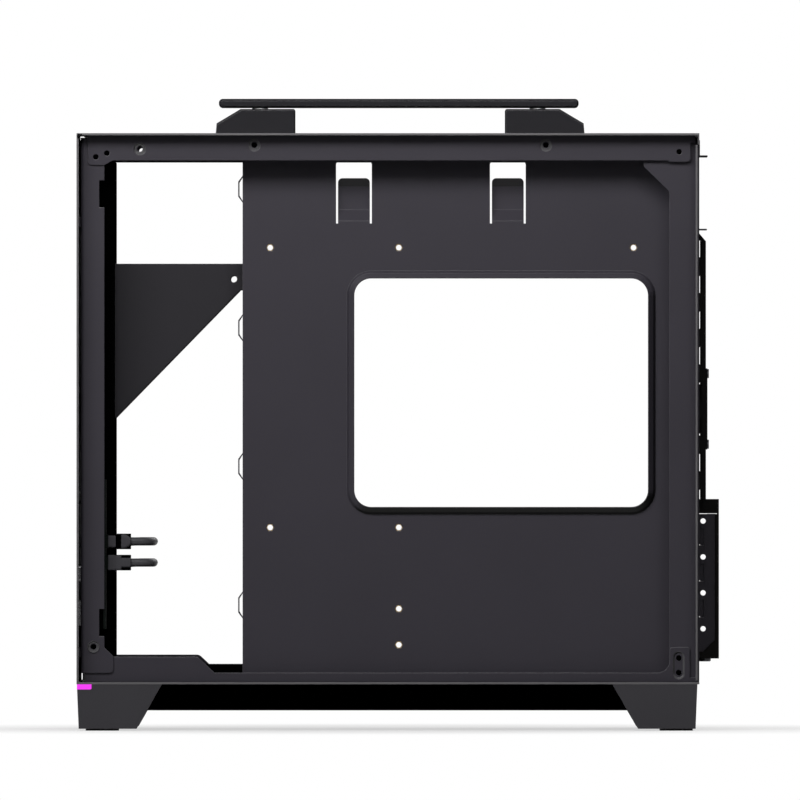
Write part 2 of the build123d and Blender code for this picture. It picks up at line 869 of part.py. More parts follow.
# Rear vent cover: a pressed pan with a sloped head, slotted on its face and sides.
face_columns = int((vent_far_y - vent_near_y - 2 * vent_border) / face_slot_pitch)
lowest_slot_z = vent_bottom_z + side_slot_rise
vent_face_x = rear_x + vent_depth - sheet
with BuildPart() as vent_cover:
    with BuildSketch(across(vent_far_y)):
        with BuildLine():
            Polyline(
                (rear_x, vent_bottom_z),
                (rear_x, vent_bottom_z + vent_height),
                (rear_x + vent_depth, vent_bottom_z + vent_height - vent_head_drop),
                (rear_x + vent_depth, vent_bottom_z),
                close=True,
            )
        make_face()
    extrude(amount=vent_far_y - vent_near_y)
    with BuildSketch(across(vent_far_y - sheet)):
        with BuildLine():
            Polyline(
                (rear_x, vent_bottom_z + sheet),
                (rear_x, vent_bottom_z + vent_height - 1.5 * sheet),
                (vent_face_x, vent_bottom_z + vent_height - vent_head_drop - 0.8 * sheet),
                (vent_face_x, vent_bottom_z + sheet),
                close=True,
            )
        make_face()
    extrude(amount=vent_far_y - vent_near_y - 2 * sheet, mode=Mode.SUBTRACT)
    with BuildSketch(across(vent_far_y)):
        with Locations(
            *(
                (rear_x + seat_gap + side_slot_width / 2, lowest_slot_z + step * vent_slot_pitch)
                for step in range(vent_slot_rows + 1)
            )
        ):
            Rectangle(side_slot_width, side_slot_length)
    extrude(amount=vent_far_y - vent_near_y, mode=Mode.SUBTRACT)
    with BuildSketch(facing_rear(vent_face_x)):
        with Locations((vent_centre_y, vent_centre_z - face_slot_shift)):
            with GridLocations(face_slot_pitch, vent_slot_pitch, face_columns, vent_slot_rows):
                Rectangle(face_slot_width, face_slot_length)
        with Locations((inlet_y, inlet_z)):
            Rectangle(inlet_width + 2 * inlet_clear, inlet_height + 2 * inlet_clear, mode=Mode.SUBTRACT)
            Rectangle(inlet_body_width + 2 * slide_gap, inlet_body_height + 2 * slide_gap)
            with GridLocations(0, inlet_screw_pitch, 1, 2):
                few_sided(screw_clearance)
    extrude(amount=sheet, mode=Mode.SUBTRACT)
finish(vent_cover.part, "vent_cover")


# Slot covers: flat blanks whose tops are bent out over the shelf.
cover_back_x = rear_x - sheet
cover_low_y = slot_opening_y - slot_opening_length / 2 - cover_lap
cover_bend_y = slot_shelf_y + sheet + bracket_sheet
cover_tab_end_x = rear_x + cover_tab_length
for number, screw_z in enumerate(slot_screws_z, start=1):
    cover_z = screw_z - slot_screw_rise
    cover_bottom_z = cover_z - bracket_width / 2
    with BuildPart() as slot_cover:
        with BuildSketch(level(cover_bottom_z)):
            with BuildLine():
                Polyline(
                    (cover_back_x - bracket_sheet, cover_low_y),
                    (cover_back_x, cover_low_y),
                    (cover_back_x, slot_shelf_y + sheet),
                    (cover_tab_end_x, slot_shelf_y + sheet),
                    (cover_tab_end_x, cover_bend_y),
                    (cover_back_x - bracket_sheet, cover_bend_y),
                    close=True,
                )
            make_face()
        extrude(amount=bracket_width)
        with BuildSketch(facing_rear(cover_back_x - bracket_sheet)):
            with Locations((cover_low_y + cover_notch_length / 2, cover_z)):
                with GridLocations(0, bracket_width, 1, 2):
                    Rectangle(cover_notch_length, cover_notch_height)
        extrude(amount=bracket_sheet, mode=Mode.SUBTRACT)
        with BuildSketch(across(cover_bend_y)):
            with Locations((rear_x + slot_screw_out, screw_z)):
                few_sided(cover_screw_slot)
            with Locations((rear_x + slot_screw_out, screw_z + cover_slot_reach / 2)):
                Rectangle(cover_screw_slot, cover_slot_reach)
            with BuildLine():
                Polyline(
                    (rear_x + slide_gap, cover_bottom_z),
                    (rear_x + slide_gap + cover_corner_length, cover_bottom_z),
                    (rear_x + slide_gap, cover_bottom_z + cover_corner_height),
                    close=True,
                )
            make_face()
        extrude(amount=bracket_sheet, mode=Mode.SUBTRACT)
    finish(slot_cover.part, f"slot_cover_{number}")


# Slot guard: a folded hood that closes the rear of the slot screws.
guard_back_x = rear_x + guard_depth
guard_top_z = guard_bottom_z + guard_height
guard_screw_x = rear_x + guard_screw_inset
with BuildPart() as slot_guard:
    with BuildSketch(across(slot_shelf_y + guard_width)):
        with Locations((middle(rear_x, guard_back_x), middle(guard_bottom_z, guard_top_z))):
            Rectangle(guard_depth, guard_height)
        with Locations((middle(rear_x, guard_back_x - sheet), middle(guard_bottom_z, guard_top_z))):
            Rectangle(guard_depth - sheet, guard_height - 2 * sheet, mode=Mode.SUBTRACT)
    extrude(amount=guard_width)
    with BuildSketch(across(slot_shelf_y + sheet)):
        with Locations((middle(rear_x, guard_back_x), guard_top_z - guard_end_height / 2)):
            Rectangle(guard_depth, guard_end_height)
    extrude(amount=sheet)
    with BuildSketch(across(slot_shelf_y)):
        with BuildLine():
            Polyline(
                (rear_x, guard_bottom_z),
                (guard_back_x, guard_bottom_z),
                (guard_back_x, shelf_screw_top_z),
                (guard_back_x - guard_lip, shelf_screw_top_z),
                (guard_back_x - guard_lip, guard_bottom_z + guard_slope_top),
                (rear_x + guard_floor_depth, guard_bottom_z + guard_floor_height),
                (rear_x, guard_bottom_z + guard_floor_height),
                close=True,
            )
        make_face()
    extrude(amount=sheet)
    with BuildSketch(level(guard_bottom_z)):
        with Locations((guard_screw_x, slot_shelf_y + guard_width / 2)):
            few_sided(screw_clearance)
    extrude(amount=sheet, mode=Mode.SUBTRACT)
finish(slot_guard.part, "slot_guard")

with BuildPart() as guard_screw:
    with BuildSketch(level(guard_bottom_z)):
        with Locations((guard_screw_x, slot_shelf_y + guard_width / 2)):
            few_sided(guard_head_diameter)
    extrude(amount=-guard_head_height)
    with BuildSketch(level(guard_bottom_z)):
        with Locations((guard_screw_x, slot_shelf_y + guard_width / 2)):
            few_sided(guard_screw_diameter)
    extrude(amount=sheet + guard_screw_reach)
    chamfer(guard_screw.edges().group_by(Axis.Z)[0], fine_chamfer)
finish(guard_screw.part, "guard_screw")


# Mains inlet: a screwed flange with a hollow socket and three pins.
inlet_front_x = rear_x + vent_depth
inlet_bore_width = inlet_body_width - 2 * inlet_wall
inlet_bore_height = inlet_body_height - 2 * inlet_wall
with BuildPart() as mains_inlet:
    with BuildSketch(facing_rear(inlet_front_x)):
        with Locations((inlet_y, inlet_z)):
            RectangleRounded(inlet_width, inlet_height, inlet_corner)
            with GridLocations(0, inlet_screw_pitch, 1, 2):
                few_sided(inlet_hole_diameter, Mode.SUBTRACT)
    extrude(amount=inlet_flange)
    with BuildSketch(facing_rear(inlet_front_x)):
        with Locations((inlet_y, inlet_z)):
            RectangleRounded(inlet_body_width, inlet_body_height, inlet_body_corner)
    extrude(amount=-inlet_body_depth)
    with BuildSketch(facing_rear(inlet_front_x + inlet_flange)):
        with Locations((inlet_y, inlet_z)):
            RectangleRounded(inlet_bore_width, inlet_bore_height, inlet_bore_corner)
    extrude(amount=-(inlet_flange + inlet_body_depth - inlet_back), mode=Mode.SUBTRACT)
finish(mains_inlet.part, "mains_inlet")

with BuildPart() as inlet_pins:
    with BuildSketch(facing_rear(inlet_front_x - inlet_body_depth + inlet_back)):
        with Locations(
            (inlet_y - pin_offset_y, inlet_z),
            (inlet_y + pin_offset_y, inlet_z - pin_offset_z),
            (inlet_y + pin_offset_y, inlet_z + pin_offset_z),
        ):
            Rectangle(*pin_size)
    extrude(amount=pin_length)
finish(inlet_pins.part, "inlet_pins")

with BuildPart() as inlet_screws:
    with BuildSketch(facing_rear(inlet_front_x + inlet_flange)):
        with Locations((inlet_y, inlet_z)):
            with GridLocations(0, inlet_screw_pitch, 1, 2):
                few_sided(inlet_head_diameter)
    extrude(amount=inlet_head_height)
    with BuildSketch(facing_rear(inlet_front_x + inlet_flange)):
        with Locations((inlet_y, inlet_z)):
            with GridLocations(0, inlet_screw_pitch, 1, 2):
                few_sided(inlet_screw_diameter)
    extrude(amount=-inlet_screw_length)
finish(inlet_screws.part, "inlet_screws")


# Motherboard tray: a folded wall with a rimmed window, lanced hooks and tie bridges.
tray_top_z = top_z - skin - sheet
tray_rear_x = rear_x - sheet
board_datum_x = rear_x - sheet - board_datum_inset
board_datum_z = top_z - board_top_row_drop
board_front_x = board_datum_x - board_columns[2]
board_middle_x = board_datum_x - board_columns[1]
standoff_places = [
    (board_datum_x - board_columns[0], board_datum_z),
    (board_middle_x, board_datum_z),
    (board_front_x, board_datum_z),
    (board_datum_x, board_datum_z - board_rows[1]),
    (board_middle_x, board_datum_z - board_rows[1]),
    (board_front_x, board_datum_z - board_rows[1]),
    (board_middle_x, board_datum_z - board_rows[2]),
    (board_datum_x, board_datum_z - board_rows[2]),
    (board_middle_x, board_datum_z - board_rows[3]),
    (board_datum_x, board_datum_z - board_rows[3]),
]
cutout_x = rear_x - cutout_rear_inset - cutout_length / 2
cutout_z = top_z - cutout_top_drop - cutout_height / 2
tongue_window_top_z = top_z - tongue_window_drop
tongue_window_z = tongue_window_top_z - tongue_window_height / 2
tongue_root_z = tongue_window_top_z - tongue_window_height
bridge_levels = [lowest_bridge_z + step * bridge_pitch for step in range(bridge_count)]

with BuildSketch() as tongue_window:
    Rectangle(tongue_window_width, tongue_window_height)
    fillet(tongue_window.vertices().group_by(Axis.Y)[-1], tongue_window_radius)

tongue_top_z = tongue_root_z + tongue_reach
with BuildSketch() as tongue_corners:
    Rectangle(tongue_width + 2.0, 2 * tongue_radius + 2.0)
    RectangleRounded(tongue_width, 2 * tongue_radius, 0.99 * tongue_radius, mode=Mode.SUBTRACT)
    with Locations((0, -tongue_radius)):
        Rectangle(tongue_width + 4.0, 2 * tongue_radius, mode=Mode.SUBTRACT)

with BuildPart() as motherboard_tray:
    with BuildSketch(across(tray_far_y)):
        with Locations((middle(tray_front_x, tray_rear_x), middle(floor_z, tray_top_z))):
            Rectangle(tray_rear_x - tray_front_x, tray_top_z - floor_z)
    extrude(amount=tray_sheet)
    with BuildSketch(across(tray_near_y)):
        with Locations((cutout_x, cutout_z)):
            RectangleRounded(
                cutout_length + 2 * cutout_rim_width,
                cutout_height + 2 * cutout_rim_width,
                cutout_radius + cutout_rim_width,
            )
    extrude(amount=cutout_rim_rise, taper=45)
    with BuildSketch(across(tray_far_y)):
        with Locations((cutout_x, cutout_z)):
            RectangleRounded(
                cutout_length + 2 * cutout_rim_width - tray_sheet,
                cutout_height + 2 * cutout_rim_width - tray_sheet,
                cutout_radius + cutout_rim_width - tray_sheet / 2,
            )
    extrude(amount=cutout_rim_rise, taper=45, mode=Mode.SUBTRACT)
    with BuildSketch(across(tray_far_y)):
        with Locations((cutout_x, cutout_z)):
            RectangleRounded(cutout_length, cutout_height, cutout_radius)
        for tongue_x in tongue_positions:
            with Locations((tongue_x, tongue_window_z)):
                add(tongue_window.sketch)
        with Locations(*standoff_places):
            RegularPolygon(standoff_shank / 2, 6)
    extrude(amount=tray_sheet + cutout_rim_rise, mode=Mode.SUBTRACT)
    for tongue_x in tongue_positions:
        with BuildSketch(facing_rear(tongue_x - tongue_width / 2)):
            with BuildLine():
                FilletPolyline(
                    (tray_far_y - tray_sheet / 2, tongue_root_z - tongue_root_lap),
                    (tray_far_y - tray_sheet / 2, tongue_root_z + tongue_heel),
                    (tray_far_y + tongue_offset - tray_sheet / 2, tongue_root_z + tongue_bend_rise),
                    (tray_far_y + tongue_offset - tray_sheet / 2, tongue_root_z + tongue_straight_rise),
                    (tray_far_y + tongue_offset - tongue_tip_lean, tongue_root_z + tongue_reach),
                    radius=tongue_bend_radius,
                )
            trace(line_width=tray_sheet)
        extrude(amount=tongue_width)
    with BuildSketch(across(tray_far_y + tongue_offset + tray_sheet)):
        with Locations(*((tongue_x, tongue_top_z - tongue_radius) for tongue_x in tongue_positions)):
            add(tongue_corners.sketch)
    extrude(amount=tongue_offset + tray_sheet - tongue_cut_gap, mode=Mode.SUBTRACT)
    with BuildSketch(facing_rear(tray_front_x)):
        with Locations((tray_far_y + tray_flange_width / 2, middle(floor_z, tray_top_z))):
            Rectangle(tray_flange_width, tray_top_z - floor_z)
        for bridge_z in bridge_levels:
            with Locations((tray_far_y + bridge_inset, bridge_z)):
                Rectangle(bridge_width, bridge_height - 2 * bridge_window_margin, mode=Mode.SUBTRACT)
    extrude(amount=tray_sheet)
    bridge_outer_x = tray_front_x - bridge_rise
    bridge_inner_x = bridge_outer_x + bridge_sheet
    for bridge_z in bridge_levels:
        bridge_low_z = bridge_z - bridge_height / 2
        bridge_high_z = bridge_z + bridge_height / 2
        with BuildSketch(across(tray_far_y + bridge_inset + bridge_width / 2)):
            with BuildLine():
                Polyline(
                    (tray_front_x, bridge_low_z),
                    (bridge_outer_x, bridge_low_z + bridge_slope),
                    (bridge_outer_x, bridge_high_z - bridge_slope),
                    (tray_front_x, bridge_high_z),
                    (tray_front_x, bridge_high_z - bridge_foot),
                    (bridge_inner_x, bridge_high_z - bridge_inner_slope),
                    (bridge_inner_x, bridge_low_z + bridge_inner_slope),
                    (tray_front_x, bridge_low_z + bridge_foot),
                    close=True,
                )
            make_face()
        extrude(amount=bridge_width)
    for flange_z in (floor_z, tray_top_z - tray_sheet):
        with BuildSketch(level(flange_z)):
            with Locations((middle(tray_front_x, tray_rear_x), tray_near_y - tray_flange_width / 2)):
                Rectangle(tray_rear_x - tray_front_x, tray_flange_width)
        extrude(amount=tray_sheet)
    with BuildSketch(level(tray_top_z)):
        with Locations(*((x, tray_near_y) for x in stiffener_x)):
            Rectangle(stiffener_length + 2 * seat_gap, 4 * tray_flange_width)
    extrude(amount=-sheet - seat_gap, mode=Mode.SUBTRACT)
    with BuildSketch(facing_rear(tray_rear_x - tray_sheet)):
        with Locations((tray_near_y - tray_flange_width / 2, middle(floor_z, rear_plate_top_z))):
            Rectangle(tray_flange_width, rear_plate_top_z - floor_z - 2 * tray_flange_relief)
    extrude(amount=tray_sheet)
finish(motherboard_tray.part, "motherboard_tray")

with BuildPart() as standoffs:
    with BuildSketch(across(tray_far_y + standoff_height)):
        with Locations(*standoff_places):
            RegularPolygon(standoff_diameter / 2, 6)
            Circle(standoff_bore / 2, mode=Mode.SUBTRACT)
    extrude(amount=standoff_height)
    with BuildSketch(across(tray_far_y)):
        with Locations(*standoff_places):
            RegularPolygon(standoff_shank / 2, 6)
            Circle(standoff_bore / 2, mode=Mode.SUBTRACT)
    extrude(amount=tray_sheet)
finish(standoffs.part, "standoffs")


# Power supply shelf: a folded ledge on the fan bracket with a sloped cheek at each side.
cheek_front_x = fan_bracket_back_x
cheek_rear_x = tray_front_x + cheek_lap
cheek_hole = (tray_front_x - cheek_hole_inset, shelf_top_z - cheek_hole_drop)
shelf_length = cheek_rear_x - cheek_front_x
shelf_width = shelf_far_y - shelf_near_y
shelf_opening_length = shelf_length - 2 * shelf_border_x
shelf_opening_width = shelf_width - 2 * shelf_border_y
with BuildPart() as power_supply_shelf:
    with BuildSketch(level(shelf_top_z)):
        with Locations((middle(cheek_front_x, cheek_rear_x), middle(shelf_near_y, shelf_far_y))):
            Rectangle(shelf_length, shelf_width)
            Rectangle(shelf_opening_length, shelf_opening_width, mode=Mode.SUBTRACT)
    extrude(amount=-sheet)
    for cheek_y in (shelf_near_y + sheet, shelf_far_y):
        with BuildSketch(across(cheek_y)):
            with BuildLine():
                Polyline(
                    (cheek_front_x, shelf_top_z),
                    (cheek_rear_x, shelf_top_z),
                    (cheek_rear_x, shelf_top_z - cheek_edge_height),
                    (tray_front_x - cheek_corner_gap, shelf_top_z - cheek_edge_height),
                    (cheek_front_x, shelf_top_z - cheek_drop),
                    close=True,
                )
            make_face()
            with Locations(cheek_hole):
                few_sided(cheek_hole_diameter, Mode.SUBTRACT, 16)
        extrude(amount=sheet)
finish(power_supply_shelf.part, "power_supply_shelf")


# Handle: a flat bar on two chamfered blocks, screwed up through the stiffeners.
block_top_z = top_z + handle_block_height
bar_low_z = block_top_z + handle_washer
handle_inner_x = {"front": -handle_half_gap, "rear": handle_half_gap + handle_block_shift}
for name, side in (("front", -1), ("rear", 1)):
    inner_x = handle_inner_x[name]
    outer_x = inner_x + side * handle_block_length
    with BuildPart() as handle_block:
        with BuildSketch(across(handle_block_width / 2)) as block_side:
            with BuildLine():
                Polyline(
                    (outer_x, top_z),
                    (outer_x - side * handle_block_lean, top_z + handle_block_height - handle_chamfer_z),
                    (outer_x - side * (handle_block_lean + handle_chamfer_x), block_top_z),
                    (inner_x, block_top_z),
                    (inner_x, top_z),
                    close=True,
                )
            make_face()
            upper_corners = block_side.vertices().group_by(Axis.Y)[-1].sort_by(Axis.X)
            fillet(upper_corners[0 if side > 0 else -1], handle_block_radius)
        extrude(amount=handle_block_width)
        plain_top_z = top_z + handle_plain_height
        upper_edges = handle_block.edges().filter_by_position(Axis.Z, plain_top_z, block_top_z + sheet)
        edges_by_y = upper_edges.group_by(Axis.Y)
        chamfer(edges_by_y[0] + edges_by_y[-1], handle_block_chamfer)
    finish(handle_block.part, f"handle_block_{name}")

with BuildPart() as handle_bar:
    with BuildSketch(across(handle_bar_width / 2)):
        with Locations((0, bar_low_z + handle_bar_height / 2)):
            RectangleRounded(handle_bar_length, handle_bar_height, handle_bar_radius)
    extrude(amount=handle_bar_width)
    chamfer(handle_bar.edges().filter_by(Axis.X), handle_bar_chamfer)
finish(handle_bar.part, "handle_bar")

washer_places = [
    (side * handle_screw_x, y) for side in (-1, 1) for y in (-handle_screw_y, handle_screw_y)
]
with BuildPart() as handle_washers:
    with BuildSketch(level(block_top_z)):
        with Locations(*washer_places):
            few_sided(handle_washer_diameter, sides=20)
            few_sided(handle_washer_bore, Mode.SUBTRACT)
    extrude(amount=handle_washer)
finish(handle_washers.part, "handle_washers")

# Stiffeners: channels under the top frame that spread the load of the handle.
for name, centre_x in zip(("front", "rear"), stiffener_x):
    with BuildPart() as stiffener:
        with BuildSketch(facing_rear(centre_x - stiffener_length / 2)):
            with BuildLine():
                Polyline(
                    (-top_flange_y + 1.5 * sheet, rail_bottom_z + stiffener_gap),
                    (-top_flange_y + 1.5 * sheet, column_top_z - sheet / 2),
                    (top_flange_y - 1.5 * sheet, column_top_z - sheet / 2),
                    (top_flange_y - 1.5 * sheet, rail_bottom_z + stiffener_gap),
                )
            trace(line_width=sheet)
        extrude(amount=stiffener_length)
    finish(stiffener.part, f"stiffener_{name}")


# Feet: each is one moulding of two tapered legs joined by a beam.
foot_top_z = base_z
leg_y = half_width - leg_width / 2
for name, end_x, side, length, toe in (
    ("front", front_x + foot_front_inset, 1, foot_front_length, foot_front_toe),
    ("rear", rear_x - foot_rear_inset, -1, foot_rear_length, foot_rear_toe),
):
    with BuildPart() as foot:
        with BuildSketch(across(half_width)) as foot_side:
            with BuildLine():
                Polyline(
                    (end_x, foot_top_z),
                    (end_x + side * length, foot_top_z),
                    (end_x + side * (length - toe + foot_slope), pad_height),
                    (end_x + side * foot_heel, pad_height),
                    close=True,
                )
            make_face()
        extrude(amount=body_width)
        with BuildSketch(level(pad_height)):
            Rectangle(3 * body_length, body_width - 2 * leg_width)
        extrude(amount=foot_height - foot_beam_height, mode=Mode.SUBTRACT)
        with BuildSketch(level(foot_top_z)):
            with Locations((end_x + side * (foot_beam_length + length / 2), 0)):
                Rectangle(length, body_width - 2 * leg_width)
        extrude(amount=-foot_height, mode=Mode.SUBTRACT)
        with BuildSketch(level(foot_top_z)):
            with Locations((end_x + side * (length - toe) / 2, 0)):
                with GridLocations(0, 2 * leg_y, 1, 2):
                    Rectangle(length - toe - 2 * (foot_wall + foot_pocket_gap), leg_width - 2 * foot_wall)
        extrude(amount=-(foot_height - foot_wall), mode=Mode.SUBTRACT)
        if name == "front":
            with BuildSketch(across(half_width)):
                notch_x = end_x + (light_bar_depth - foot_front_inset) / 2
                with Locations((notch_x, foot_top_z - light_bar_height / 2)):
                    Rectangle(light_bar_depth + foot_front_inset, light_bar_height)
            extrude(amount=body_width, mode=Mode.SUBTRACT)
    finish(foot.part, f"foot_{name}")

with BuildPart() as light_bar:
    with BuildSketch(across(half_width)) as light_bar_side:
        with Locations((front_x + foot_front_inset + light_bar_depth / 2, foot_top_z - light_bar_height / 2)):
            Rectangle(light_bar_depth, light_bar_height)
        fillet(light_bar_side.vertices().sort_by(Axis.X)[-2:], light_bar_radius)
    extrude(amount=body_width)
finish(light_bar.part, "light_bar")

pad_centres = ((front_x + pad_front_inset, "front"), (rear_x - pad_rear_inset, "rear"))
for pad_x, end_name in pad_centres:
    for pad_side, side_name in ((-1, "near"), (1, "far")):
        with BuildPart() as foot_pad:
            with BuildSketch(level(0)) as pad_outline:
                with Locations((pad_x, pad_side * leg_y)):
                    Rectangle(pad_length, pad_width)
                chamfer(pad_outline.vertices(), pad_chamfer)
            extrude(amount=pad_height)
        finish(foot_pad.part, f"foot_pad_{end_name}_{side_name}")


# Bottom filter: a ribbed plastic tray under the intake, with a fine mesh on its ribs.
filter_front_x = front_x + filter_front_inset
filter_rear_x = rear_x - filter_rear_inset
filter_low_z = base_z - filter_height
filter_length = filter_rear_x - filter_front_x
with BuildPart() as bottom_filter:
    with BuildSketch(level(filter_low_z)):
        with Locations((middle(filter_front_x, filter_rear_x), 0)):
            Rectangle(filter_length, filter_width)
            Rectangle(filter_length - 2 * filter_wall, filter_width - 2 * filter_wall, mode=Mode.SUBTRACT)
            with GridLocations(filter_length / (filter_ribs + 1), 0, filter_ribs, 1):
                Rectangle(filter_wall, filter_width)
    extrude(amount=filter_height)
finish(bottom_filter.part, "bottom_filter")


# Meshes: flat screens behind the front grille, under the top slots and over the filter.
with BuildPart() as front_mesh:
    with BuildSketch(facing_rear(front_x + skin)):
        with Locations((fan_centre_y, grille_centre_z)):
            Rectangle(
                grille_columns * grille_pitch_y + 2 * mesh_border,
                grille_rows * grille_pitch_z + 2 * mesh_border,
            )
    extrude(amount=mesh_sheet)
finish(front_mesh.part, "front_mesh")

with BuildPart() as top_mesh:
    with BuildSketch(level(frame_top_z)):
        Rectangle(top_slot_count * top_slot_pitch + 2 * top_mesh_border, top_slot_length + 2 * mesh_border)
    extrude(amount=-mesh_sheet)
finish(top_mesh.part, "top_mesh")

with BuildPart() as bottom_mesh:
    with BuildSketch(level(base_z + skin)):
        with Locations((intake_x, 0)):
            Rectangle(intake_length - 2 * bottom_mesh_gap_x, intake_width - 2 * bottom_mesh_gap_y)
    extrude(amount=mesh_sheet)
finish(bottom_mesh.part, "bottom_mesh")


# Front sockets: a moulded housing behind the front frame, its board, sockets and button.
housing_back_x = plate_back_x + housing_depth
housing_centre_z = middle(housing_bottom_z, housing_top_z)
with BuildPart() as io_housing:
    with BuildSketch(facing_rear(plate_back_x)):
        with Locations((io_y, housing_centre_z)):
            RectangleRounded(housing_width, housing_top_z - housing_bottom_z, housing_radius)
    extrude(amount=housing_depth)
    with BuildSketch(facing_rear(plate_back_x)):
        with Locations((io_y, button_z)):
            Circle(button_flange_diameter / 2 + slide_gap)
    extrude(amount=pocket_depth - pocket_floor, mode=Mode.SUBTRACT)
    with BuildSketch(facing_rear(plate_back_x)):
        with Locations((io_y, button_z)):
            Circle(stem_diameter / 2 + slide_gap)
    extrude(amount=housing_depth, mode=Mode.SUBTRACT)
    with BuildSketch(facing_rear(housing_back_x)):
        with Locations((io_y, button_z)):
            Rectangle(switch_pocket, switch_pocket)
    extrude(amount=-(housing_depth - pocket_depth), mode=Mode.SUBTRACT)
    with BuildSketch(facing_rear(plate_back_x)):
        with Locations((io_y, socket_places["usb_a"])):
            Rectangle(*usb_a_size)
        with Locations((io_y, socket_places["usb_c"])):
            RectangleRounded(*usb_c_size, usb_c_radius)
        with Locations((io_y, socket_places["audio"])):
            few_sided(audio_diameter, sides=20)
    extrude(amount=housing_depth, mode=Mode.SUBTRACT)
finish(io_housing.part, "io_housing")

with BuildPart() as io_board:
    with BuildSketch(facing_rear(housing_back_x)):
        with Locations((io_y, housing_centre_z)):
            Rectangle(housing_width - 1.0, housing_top_z - housing_bottom_z - 2.0)
    extrude(amount=board_thickness)
    with BuildSketch(facing_rear(housing_back_x + board_thickness)):
        with Locations((io_y, plug_upper_z), (io_y, plug_lower_z)):
            Rectangle(plug_width - 2 * board_socket_inset, plug_height - 2 * board_socket_inset)
    extrude(amount=board_socket_height)
finish(io_board.part, "io_board")

socket_front_x = front_x + seat_gap
with BuildPart() as usb_a_socket:
    with BuildSketch(facing_rear(socket_front_x)):
        with Locations((io_y, socket_places["usb_a"])):
            Rectangle(*usb_a_size)
            Rectangle(usb_a_size[0] - 2 * usb_a_wall, usb_a_size[1] - 2 * usb_a_wall, mode=Mode.SUBTRACT)
    extrude(amount=housing_back_x - socket_front_x - socket_back)
    with BuildSketch(facing_rear(housing_back_x - socket_back)):
        with Locations((io_y, socket_places["usb_a"])):
            Rectangle(*usb_a_size)
    extrude(amount=socket_back)
    with BuildSketch(facing_rear(socket_front_x + 1.0)):
        with Locations((io_y + 1.4, socket_places["usb_a"])):
            Rectangle(1.8, usb_a_size[1] - 3.0)
    extrude(amount=housing_back_x - socket_front_x - 1.5)
finish(usb_a_socket.part, "usb_a_socket")

with BuildPart() as usb_c_socket:
    with BuildSketch(facing_rear(socket_front_x)):
        with Locations((io_y, socket_places["usb_c"])):
            RectangleRounded(*usb_c_size, usb_c_radius)
            RectangleRounded(
                usb_c_size[0] - 2 * usb_c_wall, usb_c_size[1] - 2 * usb_c_wall, 1.3, mode=Mode.SUBTRACT
            )
    extrude(amount=housing_back_x - socket_front_x - socket_back)
    with BuildSketch(facing_rear(housing_back_x - socket_back)):
        with Locations((io_y, socket_places["usb_c"])):
            RectangleRounded(*usb_c_size, usb_c_radius)
    extrude(amount=socket_back)
    with BuildSketch(facing_rear(socket_front_x + 1.0)):
        with Locations((io_y, socket_places["usb_c"])):
            Rectangle(0.7, usb_c_size[1] - 2.6)
    extrude(amount=housing_back_x - socket_front_x - 1.5)
finish(usb_c_socket.part, "usb_c_socket")

with BuildPart() as audio_socket:
    with BuildSketch(facing_rear(socket_front_x)):
        with Locations((io_y, socket_places["audio"])):
            few_sided(audio_diameter, sides=20)
    extrude(amount=housing_back_x - socket_front_x)
    with BuildSketch(facing_rear(socket_front_x)):
        with Locations((io_y, socket_places["audio"])):
            few_sided(audio_bore, sides=20)
    extrude(amount=housing_back_x - socket_front_x - socket_back, mode=Mode.SUBTRACT)
finish(audio_socket.part, "audio_socket")

# The button slides in through its travel against a coil spring until its stem meets the switch.
button_front_x = front_x + button_recess
button_flange_x = plate_back_x + seat_gap
pocket_floor_x = plate_back_x + pocket_depth - pocket_floor
switch_front_x = housing_back_x - switch_depth
with BuildPart() as power_button:
    with BuildSketch(facing_rear(button_front_x)):
        with Locations((io_y, button_z)):
            Circle(button_diameter / 2)
    extrude(amount=button_flange_x - button_front_x)
    chamfer(power_button.edges().group_by(Axis.X)[0], fine_chamfer)
    with BuildSketch(facing_rear(button_flange_x)):
        with Locations((io_y, button_z)):
            Circle(button_flange_diameter / 2)
    extrude(amount=button_flange)
    with BuildSketch(facing_rear(button_flange_x + button_flange)):
        with Locations((io_y, button_z)):
            Circle(stem_diameter / 2)
    extrude(amount=switch_front_x - button_travel - switch_gap - button_flange_x - button_flange)
finish(power_button.part, "power_button")

spring_start_x = button_flange_x + button_flange + spring_wire / 2 + spring_end_gap
spring_length = pocket_floor_x - spring_start_x - spring_wire / 2 - spring_end_gap
spring_places = [
    (
        spring_start_x + spring_length * step / (spring_turns * spring_runs),
        io_y + spring_radius * cos(2 * pi * step / spring_runs),
        button_z + spring_radius * sin(2 * pi * step / spring_runs),
    )
    for step in range(spring_turns * spring_runs + 1)
]
with BuildPart() as button_spring:
    with BuildLine() as spring_line:
        Polyline(*spring_places)
    with BuildSketch(Plane(spring_line.line @ 0, z_dir=spring_line.line % 0)):
        RegularPolygon(spring_wire / 2, 6)
    sweep(transition=Transition.RIGHT)
finish(button_spring.part, "button_spring")

with BuildPart() as button_switch:
    with BuildSketch(facing_rear(switch_front_x)):
        with Locations((io_y, button_z)):
            Rectangle(switch_size, switch_size)
    extrude(amount=switch_depth)
finish(button_switch.part, "button_switch")


